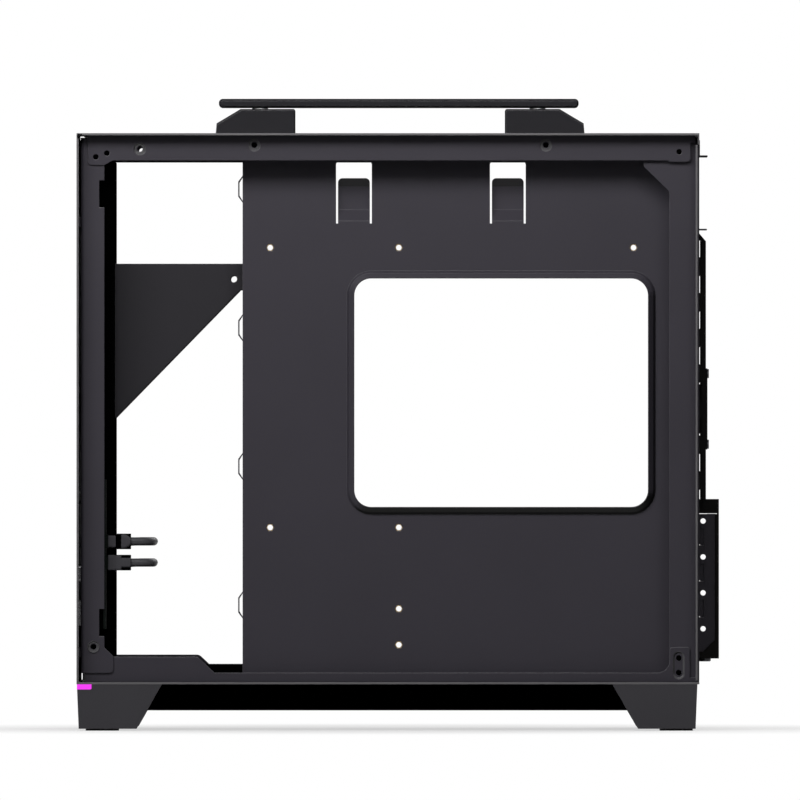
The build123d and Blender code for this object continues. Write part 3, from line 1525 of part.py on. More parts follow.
# Front cables: a plug on the board, a round cable over the floor and a plug for the motherboard.
plug_front_x = housing_back_x + board_thickness + board_socket_height
plug_body_x = plug_front_x + plug_neck_length
plug_end_x = plug_body_x + plug_body_length
cable_floor_z = floor_z + cable_diameter / 2 + 0.05
upper_route = [
    (plug_end_x, io_y, plug_upper_z),
    (front_x + 36.5, io_y, plug_upper_z),
    (front_x + 41.9, io_y + 3.8, plug_upper_z),
    (front_x + 43.5, io_y + 13.5, plug_upper_z),
    (front_x + 42.3, io_y + 23.0, plug_upper_z),
    (front_x + 37.3, io_y + 29.4, plug_upper_z),
    (front_x + 29.5, io_y + 31.0, plug_upper_z - 0.2),
    (front_x + 20.5, io_y + 30.7, plug_upper_z - 1.6),
    (front_x + 14.1, io_y + 31.0, plug_upper_z - 7.4),
    (front_x + 11.7, io_y + 30.6, plug_upper_z - 16.5),
    (front_x + 11.9, io_y + 31.1, plug_upper_z - 33.0),
    (front_x + 11.7, io_y + 30.6, base_z + 27.9),
    (front_x + 14.1, io_y + 31.1, base_z + 15.9),
    (front_x + 20.5, io_y + 30.7, base_z + 7.3),
    (front_x + 31.1, io_y + 31.2, cable_floor_z),
    (front_x + 49.1, io_y + 30.6, cable_floor_z),
    (front_x + 83.1, io_y + 31.4, cable_floor_z),
    (tray_front_x + 37.9, io_y + 32.0, cable_floor_z),
    (tray_front_x + 87.9, io_y + 35.0, cable_floor_z),
    (tray_front_x + 131.9, io_y + 33.5, cable_floor_z),
    (tray_front_x + 161.9, io_y + 40.0, cable_floor_z),
    (tray_front_x + 175.9, io_y + 57.0, cable_floor_z),
    (tray_front_x + 169.9, io_y + 77.0, cable_floor_z),
    (tray_front_x + 149.9, io_y + 88.0, cable_floor_z),
    (tray_front_x + 119.9, io_y + 87.0, cable_floor_z),
    (tray_front_x + 89.9, io_y + 90.0, cable_floor_z),
    (tray_front_x + 69.9, io_y + 90.0, cable_floor_z),
]
lower_route = [
    (plug_end_x, io_y, plug_lower_z),
    (front_x + 36.5, io_y, plug_lower_z),
    (front_x + 41.9, io_y + 3.2, plug_lower_z),
    (front_x + 43.5, io_y + 10.8, plug_lower_z),
    (front_x + 42.1, io_y + 18.2, plug_lower_z),
    (front_x + 36.7, io_y + 22.8, plug_lower_z),
    (front_x + 29.5, io_y + 23.6, plug_lower_z - 0.2),
    (front_x + 20.5, io_y + 23.3, plug_lower_z - 1.8),
    (front_x + 14.1, io_y + 23.7, plug_lower_z - 7.4),
    (front_x + 11.7, io_y + 23.3, plug_lower_z - 16.0),
    (front_x + 11.9, io_y + 23.7, base_z + 35.9),
    (front_x + 11.7, io_y + 23.3, base_z + 22.9),
    (front_x + 14.3, io_y + 23.8, base_z + 13.3),
    (front_x + 21.1, io_y + 23.4, base_z + 6.7),
    (front_x + 31.5, io_y + 23.8, cable_floor_z),
    (front_x + 49.1, io_y + 23.2, cable_floor_z),
    (front_x + 83.1, io_y + 24.0, cable_floor_z),
    (tray_front_x + 37.9, io_y + 23.4, cable_floor_z),
    (tray_front_x + 87.9, io_y + 21.0, cable_floor_z),
    (tray_front_x + 135.9, io_y + 23.0, cable_floor_z),
    (tray_front_x + 179.9, io_y + 20.0, cable_floor_z),
    (tray_front_x + 209.9, io_y + 22.0, cable_floor_z),
    (tray_front_x + 225.9, io_y + 22.0, cable_floor_z),
]


def corner_radii(points):
    """The largest arcs that fit a route: 0.45 of the shorter run at each corner."""
    radii = []
    for before, corner, after in zip(points, points[1:], points[2:]):
        run_in = Vector(*corner) - Vector(*before)
        run_out = Vector(*after) - Vector(*corner)
        turn = radians(run_in.get_angle(run_out))
        radii.append(0.45 * min(run_in.length, run_out.length) / tan(turn / 2))
    return radii


for name, route in (("upper", upper_route), ("lower", lower_route)):
    radii = corner_radii(route)
    with BuildPart() as cable:
        with BuildLine() as cable_line:
            FilletPolyline(*route, radius=radii)
        with BuildSketch(Plane(cable_line.line @ 0, z_dir=cable_line.line % 0)):
            RegularPolygon(cable_diameter / 2, 6)
        sweep()
    wire_length = sum(edge.length for edge in cable_line.edges())
    section = pi * cable_diameter**2 / 4
    print(name, "length", round(wire_length, 1), "least radius", round(min(radii), 1))
    print("volume ratio", round(cable.part.volume / (section * wire_length), 4))
    finish(cable.part, f"cable_{name}")

for name, plug_z in (("upper", plug_upper_z), ("lower", plug_lower_z)):
    with BuildPart() as plug:
        with BuildSketch(facing_rear(plug_front_x)):
            with Locations((io_y, plug_z)):
                Rectangle(plug_width, plug_height)
        extrude(amount=plug_neck_length)
        with BuildSketch(facing_rear(plug_body_x)):
            with Locations((io_y, plug_z)):
                Rectangle(plug_width - 1.0, plug_height - 0.8)
        extrude(amount=plug_body_length, taper=plug_taper)
        chamfer(plug.edges().filter_by(Axis.X), plug_chamfer)
    finish(plug.part, f"cable_plug_{name}")

for name, route, side in (("upper", upper_route, -1), ("lower", lower_route, 1)):
    end_x, end_y, end_z = route[-1]
    with BuildPart() as header:
        with BuildSketch(facing_rear(end_x)):
            with Locations((end_y, floor_z + header_depth / 2)):
                Rectangle(header_width, header_depth)
        extrude(amount=side * header_length)
        with BuildSketch(facing_rear(end_x + side * header_length)):
            with Locations((end_y, floor_z + header_depth / 2)):
                Rectangle(header_width - 2 * header_wall, header_depth - 2 * header_wall)
        extrude(amount=-side * header_socket_depth, mode=Mode.SUBTRACT)
    finish(header.part, f"header_plug_{name}")

# Cable guide: a moulded saddle that holds both cables to the floor beside the tray.
guide_front_x = tray_front_x - guide_length
with BuildPart() as cable_guide:
    with BuildSketch(facing_rear(guide_front_x)):
        with Locations((middle(guide_low_y, guide_high_y), floor_z + guide_height / 2)):
            Rectangle(guide_high_y - guide_low_y, guide_height)
    extrude(amount=guide_length)
    for lane_y in guide_lanes_y:
        with BuildSketch(facing_rear(guide_front_x)):
            with Locations((lane_y, floor_z + cable_diameter / 2)):
                Rectangle(cable_diameter + 1.0, cable_diameter + 1.2)
        extrude(amount=guide_length, mode=Mode.SUBTRACT)
finish(cable_guide.part, "cable_guide")
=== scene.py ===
"""How the open computer case looks: its paint, plastics, screens, cables, plugs and screws."""

import json
import math

import bmesh
import bpy
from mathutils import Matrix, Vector


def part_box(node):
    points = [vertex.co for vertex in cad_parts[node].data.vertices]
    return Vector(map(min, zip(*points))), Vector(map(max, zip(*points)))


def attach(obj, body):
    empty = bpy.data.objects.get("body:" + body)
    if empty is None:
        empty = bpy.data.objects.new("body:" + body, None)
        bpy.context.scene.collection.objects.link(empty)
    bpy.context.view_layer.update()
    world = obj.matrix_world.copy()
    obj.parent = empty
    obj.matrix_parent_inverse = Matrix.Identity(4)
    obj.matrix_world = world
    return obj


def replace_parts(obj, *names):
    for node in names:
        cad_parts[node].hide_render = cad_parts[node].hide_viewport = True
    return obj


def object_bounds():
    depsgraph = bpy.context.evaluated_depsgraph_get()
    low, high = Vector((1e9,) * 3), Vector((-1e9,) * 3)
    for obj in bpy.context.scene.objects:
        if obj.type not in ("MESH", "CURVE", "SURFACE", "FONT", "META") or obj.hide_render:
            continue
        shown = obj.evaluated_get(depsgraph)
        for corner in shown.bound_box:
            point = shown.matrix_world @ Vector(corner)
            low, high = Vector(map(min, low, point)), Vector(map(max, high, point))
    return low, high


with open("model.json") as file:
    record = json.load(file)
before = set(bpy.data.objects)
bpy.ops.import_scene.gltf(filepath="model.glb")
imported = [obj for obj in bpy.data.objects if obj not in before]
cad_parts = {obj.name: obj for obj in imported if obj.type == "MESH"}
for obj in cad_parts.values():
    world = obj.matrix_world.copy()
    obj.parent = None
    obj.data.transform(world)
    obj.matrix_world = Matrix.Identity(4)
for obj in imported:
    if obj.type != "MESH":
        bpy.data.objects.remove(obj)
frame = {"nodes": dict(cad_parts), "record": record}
cad_box = [list(corner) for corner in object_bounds()]
nodes = frame["nodes"]
MM = 0.001


def in_mm(*pairs):
    """Pairs of millimetres as pairs of metres."""
    return [(first * MM, second * MM) for first, second in pairs]


# Camera: a very long lens, square to the open cable side, 450 mm across the picture.
PICTURE_WIDTH = 0.450
PICTURE_CENTRE = (0.00068, 0.18585)
SCALE_PLANE_Y = -0.080
CAMERA_DISTANCE = 21.1
SENSOR_WIDTH = 36.0

camera_data = bpy.data.cameras.new("camera")
camera_data.sensor_width = SENSOR_WIDTH
camera_data.lens = SENSOR_WIDTH * CAMERA_DISTANCE / PICTURE_WIDTH
camera_data.clip_end = 60.0
camera = bpy.data.objects.new("camera", camera_data)
camera.location = (PICTURE_CENTRE[0], SCALE_PLANE_Y - CAMERA_DISTANCE, PICTURE_CENTRE[1])
camera.rotation_euler = (math.radians(90.0), 0.0, 0.0)
bpy.context.scene.collection.objects.link(camera)
bpy.context.scene.camera = camera
bpy.context.scene.view_settings.view_transform = "Standard"


# Helpers for node trees
def linked(tree, kind, **values):
    """A new node whose named sockets or settings take the given values."""
    node = tree.nodes.new(kind)
    for name, value in values.items():
        label = name.replace("_", " ")
        if label in node.inputs:
            node.inputs[label].default_value = value
        else:
            setattr(node, name, value)
    return node


def new_finish(name):
    """An empty material with its tree and its surface shader."""
    material = bpy.data.materials.new(name)
    material.use_nodes = True
    return material, material.node_tree, material.node_tree.nodes["Principled BSDF"]


def soft_edges(tree, radius):
    """The normal that light sees on an edge broken by this radius."""
    edge = tree.nodes.new("ShaderNodeBevel")
    edge.samples = 4
    edge.inputs["Radius"].default_value = radius
    return edge.outputs["Normal"]


def speckle(tree, coordinates, scale, detail=2.0, stretch=None):
    """Noise over the object's own coordinates, stretched along an axis where asked."""
    noise = linked(tree, "ShaderNodeTexNoise", Scale=scale, Detail=detail)
    if stretch is None:
        tree.links.new(coordinates, noise.inputs["Vector"])
    else:
        squeeze = tree.nodes.new("ShaderNodeMapping")
        squeeze.inputs["Scale"].default_value = stretch
        tree.links.new(coordinates, squeeze.inputs["Vector"])
        tree.links.new(squeeze.outputs["Vector"], noise.inputs["Vector"])
    return noise.outputs["Fac"]


def between(tree, factor, low, high):
    """Turns noise into a number that runs from low to high."""
    spread = linked(tree, "ShaderNodeMapRange", From_Min=0.3, From_Max=0.7, To_Min=low, To_Max=high)
    tree.links.new(factor, spread.inputs["Value"])
    return spread.outputs["Result"]


def facing_by(tree, normal, direction, low, high):
    """How far a normal turns to a direction, as 0 at the low value to 1 at the high one."""
    turn = linked(tree, "ShaderNodeVectorMath", operation="DOT_PRODUCT")
    turn.inputs[1].default_value = direction
    tree.links.new(normal, turn.inputs[0])
    share = linked(tree, "ShaderNodeMapRange", From_Min=low, From_Max=high, To_Min=0.0, To_Max=1.0)
    tree.links.new(turn.outputs["Value"], share.inputs["Value"])
    return share.outputs["Result"]


def mixed(tree, share, colour, target):
    """A colour carried part of the way to a target colour."""
    mix = linked(tree, "ShaderNodeMix", data_type="RGBA")
    tree.links.new(share, mix.inputs["Factor"])
    tree.links.new(colour, mix.inputs["A"])
    mix.inputs["B"].default_value = (*target, 1.0)
    return mix.outputs["Result"]


# Painted light on the powder coat: a painted highlight where an edge turns to the light, painted
# shade (black) where a slope turns away
LIGHT_SIDE = (-0.45, 0.0, 0.89)
SHADE_SIDE = (0.45, 0.0, -0.89)
# Colours of the painted edge highlight and the painted shade, and the ranges of their masks
PAINTED_EDGE_HIGHLIGHT = (0.30, 0.295, 0.31)
# Painted highlight along the skins' sheet edges
SKIN_EDGE_HIGHLIGHT = (0.17, 0.165, 0.172)
PAINTED_SHADE_COLOUR = (0.001, 0.001, 0.001)
TURNED_UP = (0.06, 0.55)
TURNED_DOWN = (0.12, 0.50)
SLOPED_UNDER = (0.15, 0.38)


def paint_edge_light_and_shade(tree, coordinates, bevel_normal, colour, skin_highlight_y):
    """Paints a highlight on edges that turn to the light, paints shade on slopes and edges that
    turn away and, for a skin, paints a highlight along the cut edge of its sheet.
    """
    shape = tree.nodes.new("ShaderNodeNewGeometry")
    change = linked(tree, "ShaderNodeVectorMath", operation="SUBTRACT")
    tree.links.new(bevel_normal, change.inputs[0])
    tree.links.new(shape.outputs["True Normal"], change.inputs[1])
    turned_up = facing_by(tree, change.outputs["Vector"], LIGHT_SIDE, *TURNED_UP)
    turned_down = facing_by(tree, change.outputs["Vector"], SHADE_SIDE, *TURNED_DOWN)
    under = facing_by(tree, shape.outputs["True Normal"], SHADE_SIDE, *SLOPED_UNDER)
    colour = mixed(tree, under, colour, PAINTED_SHADE_COLOUR)
    colour = mixed(tree, turned_down, colour, PAINTED_SHADE_COLOUR)
    colour = mixed(tree, turned_up, colour, PAINTED_EDGE_HIGHLIGHT)
    # Painted highlight where the skin's sheet edge reaches out past the given limit in y
    if skin_highlight_y is not None:
        parts = tree.nodes.new("ShaderNodeSeparateXYZ")
        tree.links.new(coordinates, parts.inputs[0])
        reach = linked(tree, "ShaderNodeMath", operation="ABSOLUTE")
        tree.links.new(parts.outputs["Y"], reach.inputs[0])
        at_edge = linked(tree, "ShaderNodeMath", operation="GREATER_THAN")
        at_edge.inputs[1].default_value = skin_highlight_y
        tree.links.new(reach.outputs[0], at_edge.inputs[0])
        colour = mixed(tree, at_edge.outputs[0], colour, SKIN_EDGE_HIGHLIGHT)
    return colour


def finish_of(
    name,
    colour,
    drift=0.10,
    drift_scale=14.0,
    rough=(0.45, 0.55),
    grain_scale=1400.0,
    grain_depth=0.00006,
    grain_strength=0.25,
    edge=0.00035,
    metallic=0.0,
    specular=0.3,
    stretch=None,
    coat=0.0,
    painted_edge_light=False,
    skin_highlight_y=None,
):
    """A painted, moulded or metal finish: slow drift of colour, fine grain and broken edges, and
    where asked, painted highlights and painted shade on its edges.
    """
    material, tree, shader = new_finish(name)
    coordinates = tree.nodes.new("ShaderNodeTexCoord").outputs["Object"]
    slow = speckle(tree, coordinates, drift_scale, 3.0)
    fine = speckle(tree, coordinates, grain_scale, 2.0, stretch)
    ramp = tree.nodes.new("ShaderNodeValToRGB")
    ramp.color_ramp.elements[0].position = 0.3
    ramp.color_ramp.elements[1].position = 0.7
    ramp.color_ramp.elements[0].color = [c * (1 - drift) for c in colour] + [1.0]
    ramp.color_ramp.elements[1].color = [min(1.0, c * (1 + drift)) for c in colour] + [1.0]
    tree.links.new(slow, ramp.inputs["Fac"])
    rounded = soft_edges(tree, edge)
    skin_colour = ramp.outputs["Color"]
    # Painted highlights and painted shade on edges and slopes go into the colour here
    if painted_edge_light:
        skin_colour = paint_edge_light_and_shade(tree, coordinates, rounded, skin_colour, skin_highlight_y)
    tree.links.new(skin_colour, shader.inputs["Base Color"])
    tree.links.new(between(tree, fine, *rough), shader.inputs["Roughness"])
    bump = linked(tree, "ShaderNodeBump", Strength=grain_strength, Distance=grain_depth)
    tree.links.new(fine, bump.inputs["Height"])
    tree.links.new(rounded, bump.inputs["Normal"])
    tree.links.new(bump.outputs["Normal"], shader.inputs["Normal"])
    shader.inputs["Metallic"].default_value = metallic
    shader.inputs["Specular IOR Level"].default_value = specular
    shader.inputs["Coat Weight"].default_value = coat
    return material


# Finishes, named for the record's material slots
PAINT_COLOUR = (0.0445, 0.0405, 0.052)
finishes = {
    "case_paint": finish_of(
        "black powder coat", PAINT_COLOUR, drift=0.05, edge=0.0005, painted_edge_light=True
    ),
    "handle_metal": finish_of(
        "satin black handle", (0.016, 0.0152, 0.019), rough=(0.34, 0.42), grain_strength=0.12,
        edge=0.0006, painted_edge_light=True,
    ),
    "black_plastic": finish_of(
        "moulded black plastic", (0.052, 0.050, 0.057), rough=(0.55, 0.68), grain_scale=1900.0,
        drift=0.06,
    ),
    "button_cap": finish_of(
        "satin button", (0.05, 0.05, 0.055), rough=(0.25, 0.32), grain_strength=0.05, edge=0.0002
    ),
    "screw_steel": finish_of(
        "blackened screw steel", (0.06, 0.06, 0.065), metallic=1.0, rough=(0.3, 0.42), edge=0.0002
    ),
    "brass": finish_of(
        "turned brass", (0.55, 0.40, 0.20), metallic=1.0, rough=(0.25, 0.35), edge=0.0002,
        stretch=(1.0, 6.0, 1.0),
    ),
    "rubber": finish_of(
        "foot rubber", (0.016, 0.016, 0.017), rough=(0.75, 0.88), grain_scale=900.0,
        grain_strength=0.5,
    ),
    "washer_nylon": finish_of("nylon washer", (0.82, 0.82, 0.80), rough=(0.4, 0.5), drift=0.02),
    "mesh_cloth": finish_of("screen wire", (0.02, 0.02, 0.022), rough=(0.5, 0.6), edge=0.00005),
    "circuit_board": finish_of(
        "black solder mask", (0.003, 0.005, 0.004), rough=(0.40, 0.50), grain_strength=0.1,
        specular=0.1,
    ),
    "socket_steel": finish_of(
        "socket steel", (0.30, 0.30, 0.31), metallic=1.0, rough=(0.22, 0.34), edge=0.00015,
        stretch=(0.15, 1.0, 1.0),
    ),
    "spring_steel": finish_of(
        "spring wire", (0.5, 0.5, 0.5), metallic=1.0, rough=(0.25, 0.35), edge=0.00005
    ),
    "cable_jacket": finish_of(
        "cable jacket", (0.062, 0.061, 0.067), rough=(0.42, 0.5), grain_scale=2400.0,
        grain_strength=0.12, edge=0.0001,
    ),
}


def glowing_diffuser():
    """The lit strip: a milky magenta moulding that glows evenly, a little less at its skin."""
    material, tree, shader = new_finish("lit magenta diffuser")
    coordinates = tree.nodes.new("ShaderNodeTexCoord").outputs["Object"]
    ramp = tree.nodes.new("ShaderNodeValToRGB")
    ramp.color_ramp.elements[0].position = 0.3
    ramp.color_ramp.elements[1].position = 0.7
    ramp.color_ramp.elements[0].color = (0.90, 0.050, 0.89, 1.0)
    ramp.color_ramp.elements[1].color = (0.95, 0.058, 0.94, 1.0)
    tree.links.new(speckle(tree, coordinates, 60.0), ramp.inputs["Fac"])
    tree.links.new(ramp.outputs["Color"], shader.inputs["Emission Color"])
    shader.inputs["Emission Strength"].default_value = 1.0
    shader.inputs["Base Color"].default_value = (0.02, 0.002, 0.02, 1.0)
    tree.links.new(soft_edges(tree, 0.0004), shader.inputs["Normal"])
    shader.inputs["Roughness"].default_value = 0.35
    shader.inputs["Specular IOR Level"].default_value = 0.1
    return material


finishes["light_diffuser"] = glowing_diffuser()

# Finishes of single pieces: near-black inner plastics as painted shade, zinc-black rear sheet, a
# dim inner sheet as painted shade, skins with a painted highlight on their cut edges
half_width = cad_box[1][1]
# Near black with no gloss: painted shade for the pieces deep in the case
near_black_shade = finish_of(
    "near black painted shade", (0.0012, 0.0012, 0.0013), rough=(0.8, 0.9), specular=0.0, drift=0.08
)
zinc_black = finish_of(
    "zinc black sheet", (0.0036, 0.0031, 0.0028), rough=(0.5, 0.62), specular=0.12,
    stretch=(1.0, 1.0, 0.2),
)
# The shelf's coat: the case paint made darker as painted shade
shaded_inner_coat = finish_of(
    "inner coat, painted shade", (0.019, 0.0175, 0.022), drift=0.05, edge=0.0005, painted_edge_light=True
)
# The skins: the case paint with a painted highlight along their outer sheet edges
skin_coat_painted_highlight = finish_of(
    "black powder coat on skins, painted edge highlight", PAINT_COLOUR, drift=0.05, edge=0.0003, painted_edge_light=True,
    skin_highlight_y=half_width - 0.1 * MM,
)
# The rings: the case paint made lighter as a painted highlight
ring_painted_highlight = finish_of(
    "pressed ring", (0.10, 0.098, 0.103), rough=(0.32, 0.40), edge=0.0002, painted_edge_light=True
)
special_finishes = {
    "fan_bracket": near_black_shade,
    "bottom_filter": near_black_shade,
    "cable_guide": near_black_shade,
    "io_housing": near_black_shade,
    "slot_guard": zinc_black,
    "vent_cover": zinc_black,
    "mains_inlet": zinc_black,
    "rear_upper_lip": zinc_black,
    "power_supply_shelf": shaded_inner_coat,
    "top_panel": skin_coat_painted_highlight,
    "front_panel": skin_coat_painted_highlight,
    "bottom_panel": skin_coat_painted_highlight,
    "rear_column_near": skin_coat_painted_highlight,
    "rear_column_far": skin_coat_painted_highlight,
}

for entry in frame["record"]["subparts"]:
    node_name = entry["node"]
    finish = special_finishes.get(node_name, finishes[entry["material_slot"]])
    surface = nodes[node_name].data
    surface.materials.clear()
    surface.materials.append(finish)


# Helpers for pieces
def piece(name, mesh, slot_name, body="chassis", smooth=False):
    """A finished mesh as an object at the origin that rides on a body and takes a slot's finish."""
    if smooth:
        mesh.shade_smooth()
    made = bpy.data.objects.new(name, mesh)
    bpy.context.scene.collection.objects.link(made)
    mesh.materials.clear()
    mesh.materials.append(finishes[slot_name])
    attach(made, body)
    return made


def from_bmesh(name, shape):
    """Turns a bmesh into a mesh whose faces point outwards."""
    bmesh.ops.remove_doubles(shape, verts=shape.verts, dist=1e-7)
    bmesh.ops.recalc_face_normals(shape, faces=shape.faces)
    mesh = bpy.data.meshes.new(name)
    shape.to_mesh(mesh)
    shape.free()
    return mesh


def node_tree(name, inputs):
    """A geometry tree with named inputs, and its input and output nodes."""
    tree = bpy.data.node_groups.new(name, "GeometryNodeTree")
    for label, kind in inputs.items():
        tree.interface.new_socket(label, in_out="INPUT", socket_type="NodeSocket" + kind)
    tree.interface.new_socket("Geometry", in_out="OUTPUT", socket_type="NodeSocketGeometry")
    return tree, tree.nodes.new("NodeGroupInput"), tree.nodes.new("NodeGroupOutput")


def grow(name, tree, start_points, values):
    """Runs a tree on a few points and gives the plain mesh that it makes."""
    seed_mesh = bpy.data.meshes.new(name + "_points")
    seed_mesh.from_pydata(start_points, [], [])
    seed = bpy.data.objects.new(name + "_points", seed_mesh)
    bpy.context.scene.collection.objects.link(seed)
    modifier = seed.modifiers.new("grow", "NODES")
    modifier.node_group = tree
    sockets = {
        item.name: item.identifier
        for item in tree.interface.items_tree
        if item.in_out == "INPUT"
    }
    for label, value in values.items():
        modifier[sockets[label]] = value
    depsgraph = bpy.context.evaluated_depsgraph_get()
    mesh = bpy.data.meshes.new_from_object(seed.evaluated_get(depsgraph), depsgraph=depsgraph)
    seed.modifiers.remove(modifier)
    bpy.data.objects.remove(seed)
    mesh.name = name
    return mesh


# Screens: two crossed layers of fine wire in place of each flat mesh
def wire_screen_tree():
    """Wires of one gauge at one pitch both ways over a rectangle, turned and put in place."""
    tree, given, result = node_tree(
        "wire screen",
        {
            "Length": "Float", "Width": "Float", "Pitch": "Float", "Wire": "Float",
            "Turn": "Rotation", "Centre": "Vector", "Finish": "Material",
        },
    )
    join = tree.nodes.new("GeometryNodeJoinGeometry")
    for run_label, across_label, axis, layer in (
        ("Length", "Width", 0, 0.5),
        ("Width", "Length", 1, -0.5),
    ):
        count = linked(tree, "ShaderNodeMath", operation="DIVIDE")
        tree.links.new(given.outputs[across_label], count.inputs[0])
        tree.links.new(given.outputs["Pitch"], count.inputs[1])
        lift = linked(tree, "ShaderNodeMath", operation="MULTIPLY")
        lift.inputs[1].default_value = layer
        tree.links.new(given.outputs["Wire"], lift.inputs[0])
        half = linked(tree, "ShaderNodeMath", operation="MULTIPLY")
        half.inputs[1].default_value = -0.5
        tree.links.new(given.outputs[across_label], half.inputs[0])
        start = tree.nodes.new("ShaderNodeCombineXYZ")
        step = tree.nodes.new("ShaderNodeCombineXYZ")
        size = tree.nodes.new("ShaderNodeCombineXYZ")
        tree.links.new(half.outputs[0], start.inputs[1 - axis])
        tree.links.new(lift.outputs[0], start.inputs[2])
        tree.links.new(given.outputs["Pitch"], step.inputs[1 - axis])
        tree.links.new(given.outputs[run_label], size.inputs[axis])
        tree.links.new(given.outputs["Wire"], size.inputs[1 - axis])
        tree.links.new(given.outputs["Wire"], size.inputs[2])
        row = tree.nodes.new("GeometryNodeMeshLine")
        tree.links.new(count.outputs[0], row.inputs["Count"])
        tree.links.new(start.outputs[0], row.inputs["Start Location"])
        tree.links.new(step.outputs[0], row.inputs["Offset"])
        wire = tree.nodes.new("GeometryNodeMeshCube")
        tree.links.new(size.outputs[0], wire.inputs["Size"])
        lay = tree.nodes.new("GeometryNodeInstanceOnPoints")
        tree.links.new(row.outputs["Mesh"], lay.inputs["Points"])
        tree.links.new(wire.outputs["Mesh"], lay.inputs["Instance"])
        tree.links.new(lay.outputs["Instances"], join.inputs["Geometry"])
    place = tree.nodes.new("GeometryNodeTransform")
    tree.links.new(join.outputs["Geometry"], place.inputs["Geometry"])
    tree.links.new(given.outputs["Centre"], place.inputs["Translation"])
    tree.links.new(given.outputs["Turn"], place.inputs["Rotation"])
    real = tree.nodes.new("GeometryNodeRealizeInstances")
    paint = tree.nodes.new("GeometryNodeSetMaterial")
    tree.links.new(place.outputs["Geometry"], real.inputs["Geometry"])
    tree.links.new(real.outputs["Geometry"], paint.inputs["Geometry"])
    tree.links.new(given.outputs["Finish"], paint.inputs["Material"])
    tree.links.new(paint.outputs["Geometry"], result.inputs["Geometry"])
    return tree


SCREEN_PITCH = 1.1 * MM
screen_tree = wire_screen_tree()
for node_name, turn in (
    ("front_mesh", (0.0, math.radians(90.0), 0.0)),
    ("top_mesh", (0.0, 0.0, 0.0)),
    ("bottom_mesh", (0.0, 0.0, 0.0)),
):
    low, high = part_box(node_name)
    size = high - low
    upright = node_name == "front_mesh"
    wire_gauge = min(size) / 2
    screen = grow(
        node_name + "_wires",
        screen_tree,
        [(0.0, 0.0, 0.0)],
        {
            "Length": size.z if upright else size.x,
            "Width": size.y,
            "Pitch": SCREEN_PITCH,
            "Wire": wire_gauge,
            "Turn": turn,
            "Centre": (low + high) / 2,
            "Finish": finishes["mesh_cloth"],
        },
    )
    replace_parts(piece(node_name + "_wires", screen, "mesh_cloth"), node_name)


# Screws: round heads with a hexagon socket, under the handle and over the feet
def screw_head(radius, height):
    """A domed head that stands on the XY plane, with a six-sided hollow in its top."""
    sides = 24
    flat = math.cos(math.pi / 6)
    hexagon = [1.0 / math.cos((k % 4 - 2) * math.pi / 12) * flat for k in range(sides)]
    rings = (
        (radius, 0.0, False),
        (radius, 0.35 * height, False),
        (0.88 * radius, 0.78 * height, False),
        (0.64 * radius, height, False),
        (0.50 * radius, height, True),
        (0.50 * radius, 0.35 * height, True),
    )
    shape = bmesh.new()
    loops = []
    for ring_radius, z, six_sided in rings:
        loop = []
        for k in range(sides):
            reach = ring_radius * (hexagon[k] if six_sided else 1.0)
            angle = 2 * math.pi * k / sides
            loop.append(shape.verts.new((reach * math.cos(angle), reach * math.sin(angle), z)))
        loops.append(loop)
    for lower, upper in zip(loops, loops[1:]):
        for k in range(sides):
            after = (k + 1) % sides
            shape.faces.new((lower[k], lower[after], upper[after], upper[k]))
    shape.faces.new(loops[0])
    shape.faces.new(loops[-1])
    return from_bmesh("screw head", shape)


def repeat_tree():
    """The same small form on each point, turned to face one way."""
    tree, given, result = node_tree(
        "repeat",
        {"Geometry": "Geometry", "Form": "Object", "Turn": "Rotation", "Finish": "Material"},
    )
    form = tree.nodes.new("GeometryNodeObjectInfo")
    lay = tree.nodes.new("GeometryNodeInstanceOnPoints")
    real = tree.nodes.new("GeometryNodeRealizeInstances")
    paint = tree.nodes.new("GeometryNodeSetMaterial")
    tree.links.new(given.outputs["Form"], form.inputs["Object"])
    tree.links.new(given.outputs["Geometry"], lay.inputs["Points"])
    tree.links.new(form.outputs["Geometry"], lay.inputs["Instance"])
    tree.links.new(given.outputs["Turn"], lay.inputs["Rotation"])
    tree.links.new(lay.outputs["Instances"], real.inputs["Geometry"])
    tree.links.new(real.outputs["Geometry"], paint.inputs["Geometry"])
    tree.links.new(given.outputs["Finish"], paint.inputs["Material"])
    tree.links.new(paint.outputs["Geometry"], result.inputs["Geometry"])
    return tree


form_tree = repeat_tree()


def repeated(name, form, places, facing):
    """A mesh with one form at each of these places, turned to look along one axis."""
    pattern = bpy.data.objects.new("pattern", form)
    mesh = grow(
        name,
        form_tree,
        places,
        {
            "Form": pattern,
            "Turn": Vector(facing).to_track_quat("Z", "Y").to_euler(),
            "Finish": finishes["screw_steel"],
        },
    )
    bpy.data.objects.remove(pattern)
    return mesh


def screws(name, places, facing, radius, height):
    """Screw heads at these places, which look along one axis."""
    return piece(name, repeated(name, screw_head(radius, height), places, facing), "screw_steel")


def turned(name, profile, closed, straight=0.0, sides=32):
    """A ring or a solid turned about Z from (radius, height) pairs, and drawn out along Y."""
    shape = bmesh.new()
    loops = []
    for radius, height in profile:
        loop = []
        for k in range(sides):
            angle = 2 * math.pi * (k + 0.5) / sides
            x, y = radius * math.cos(angle), radius * math.sin(angle)
            loop.append(shape.verts.new((x, y + math.copysign(straight / 2, y), height)))
        loops.append(loop)
    pairs = list(zip(loops, loops[1:]))
    if closed:
        pairs.append((loops[-1], loops[0]))
    else:
        shape.faces.new(loops[0])
        shape.faces.new(loops[-1])
    for lower, upper in pairs:
        for k in range(sides):
            after = (k + 1) % sides
            shape.faces.new((lower[k], lower[after], upper[after], upper[k]))
    return from_bmesh(name, shape)


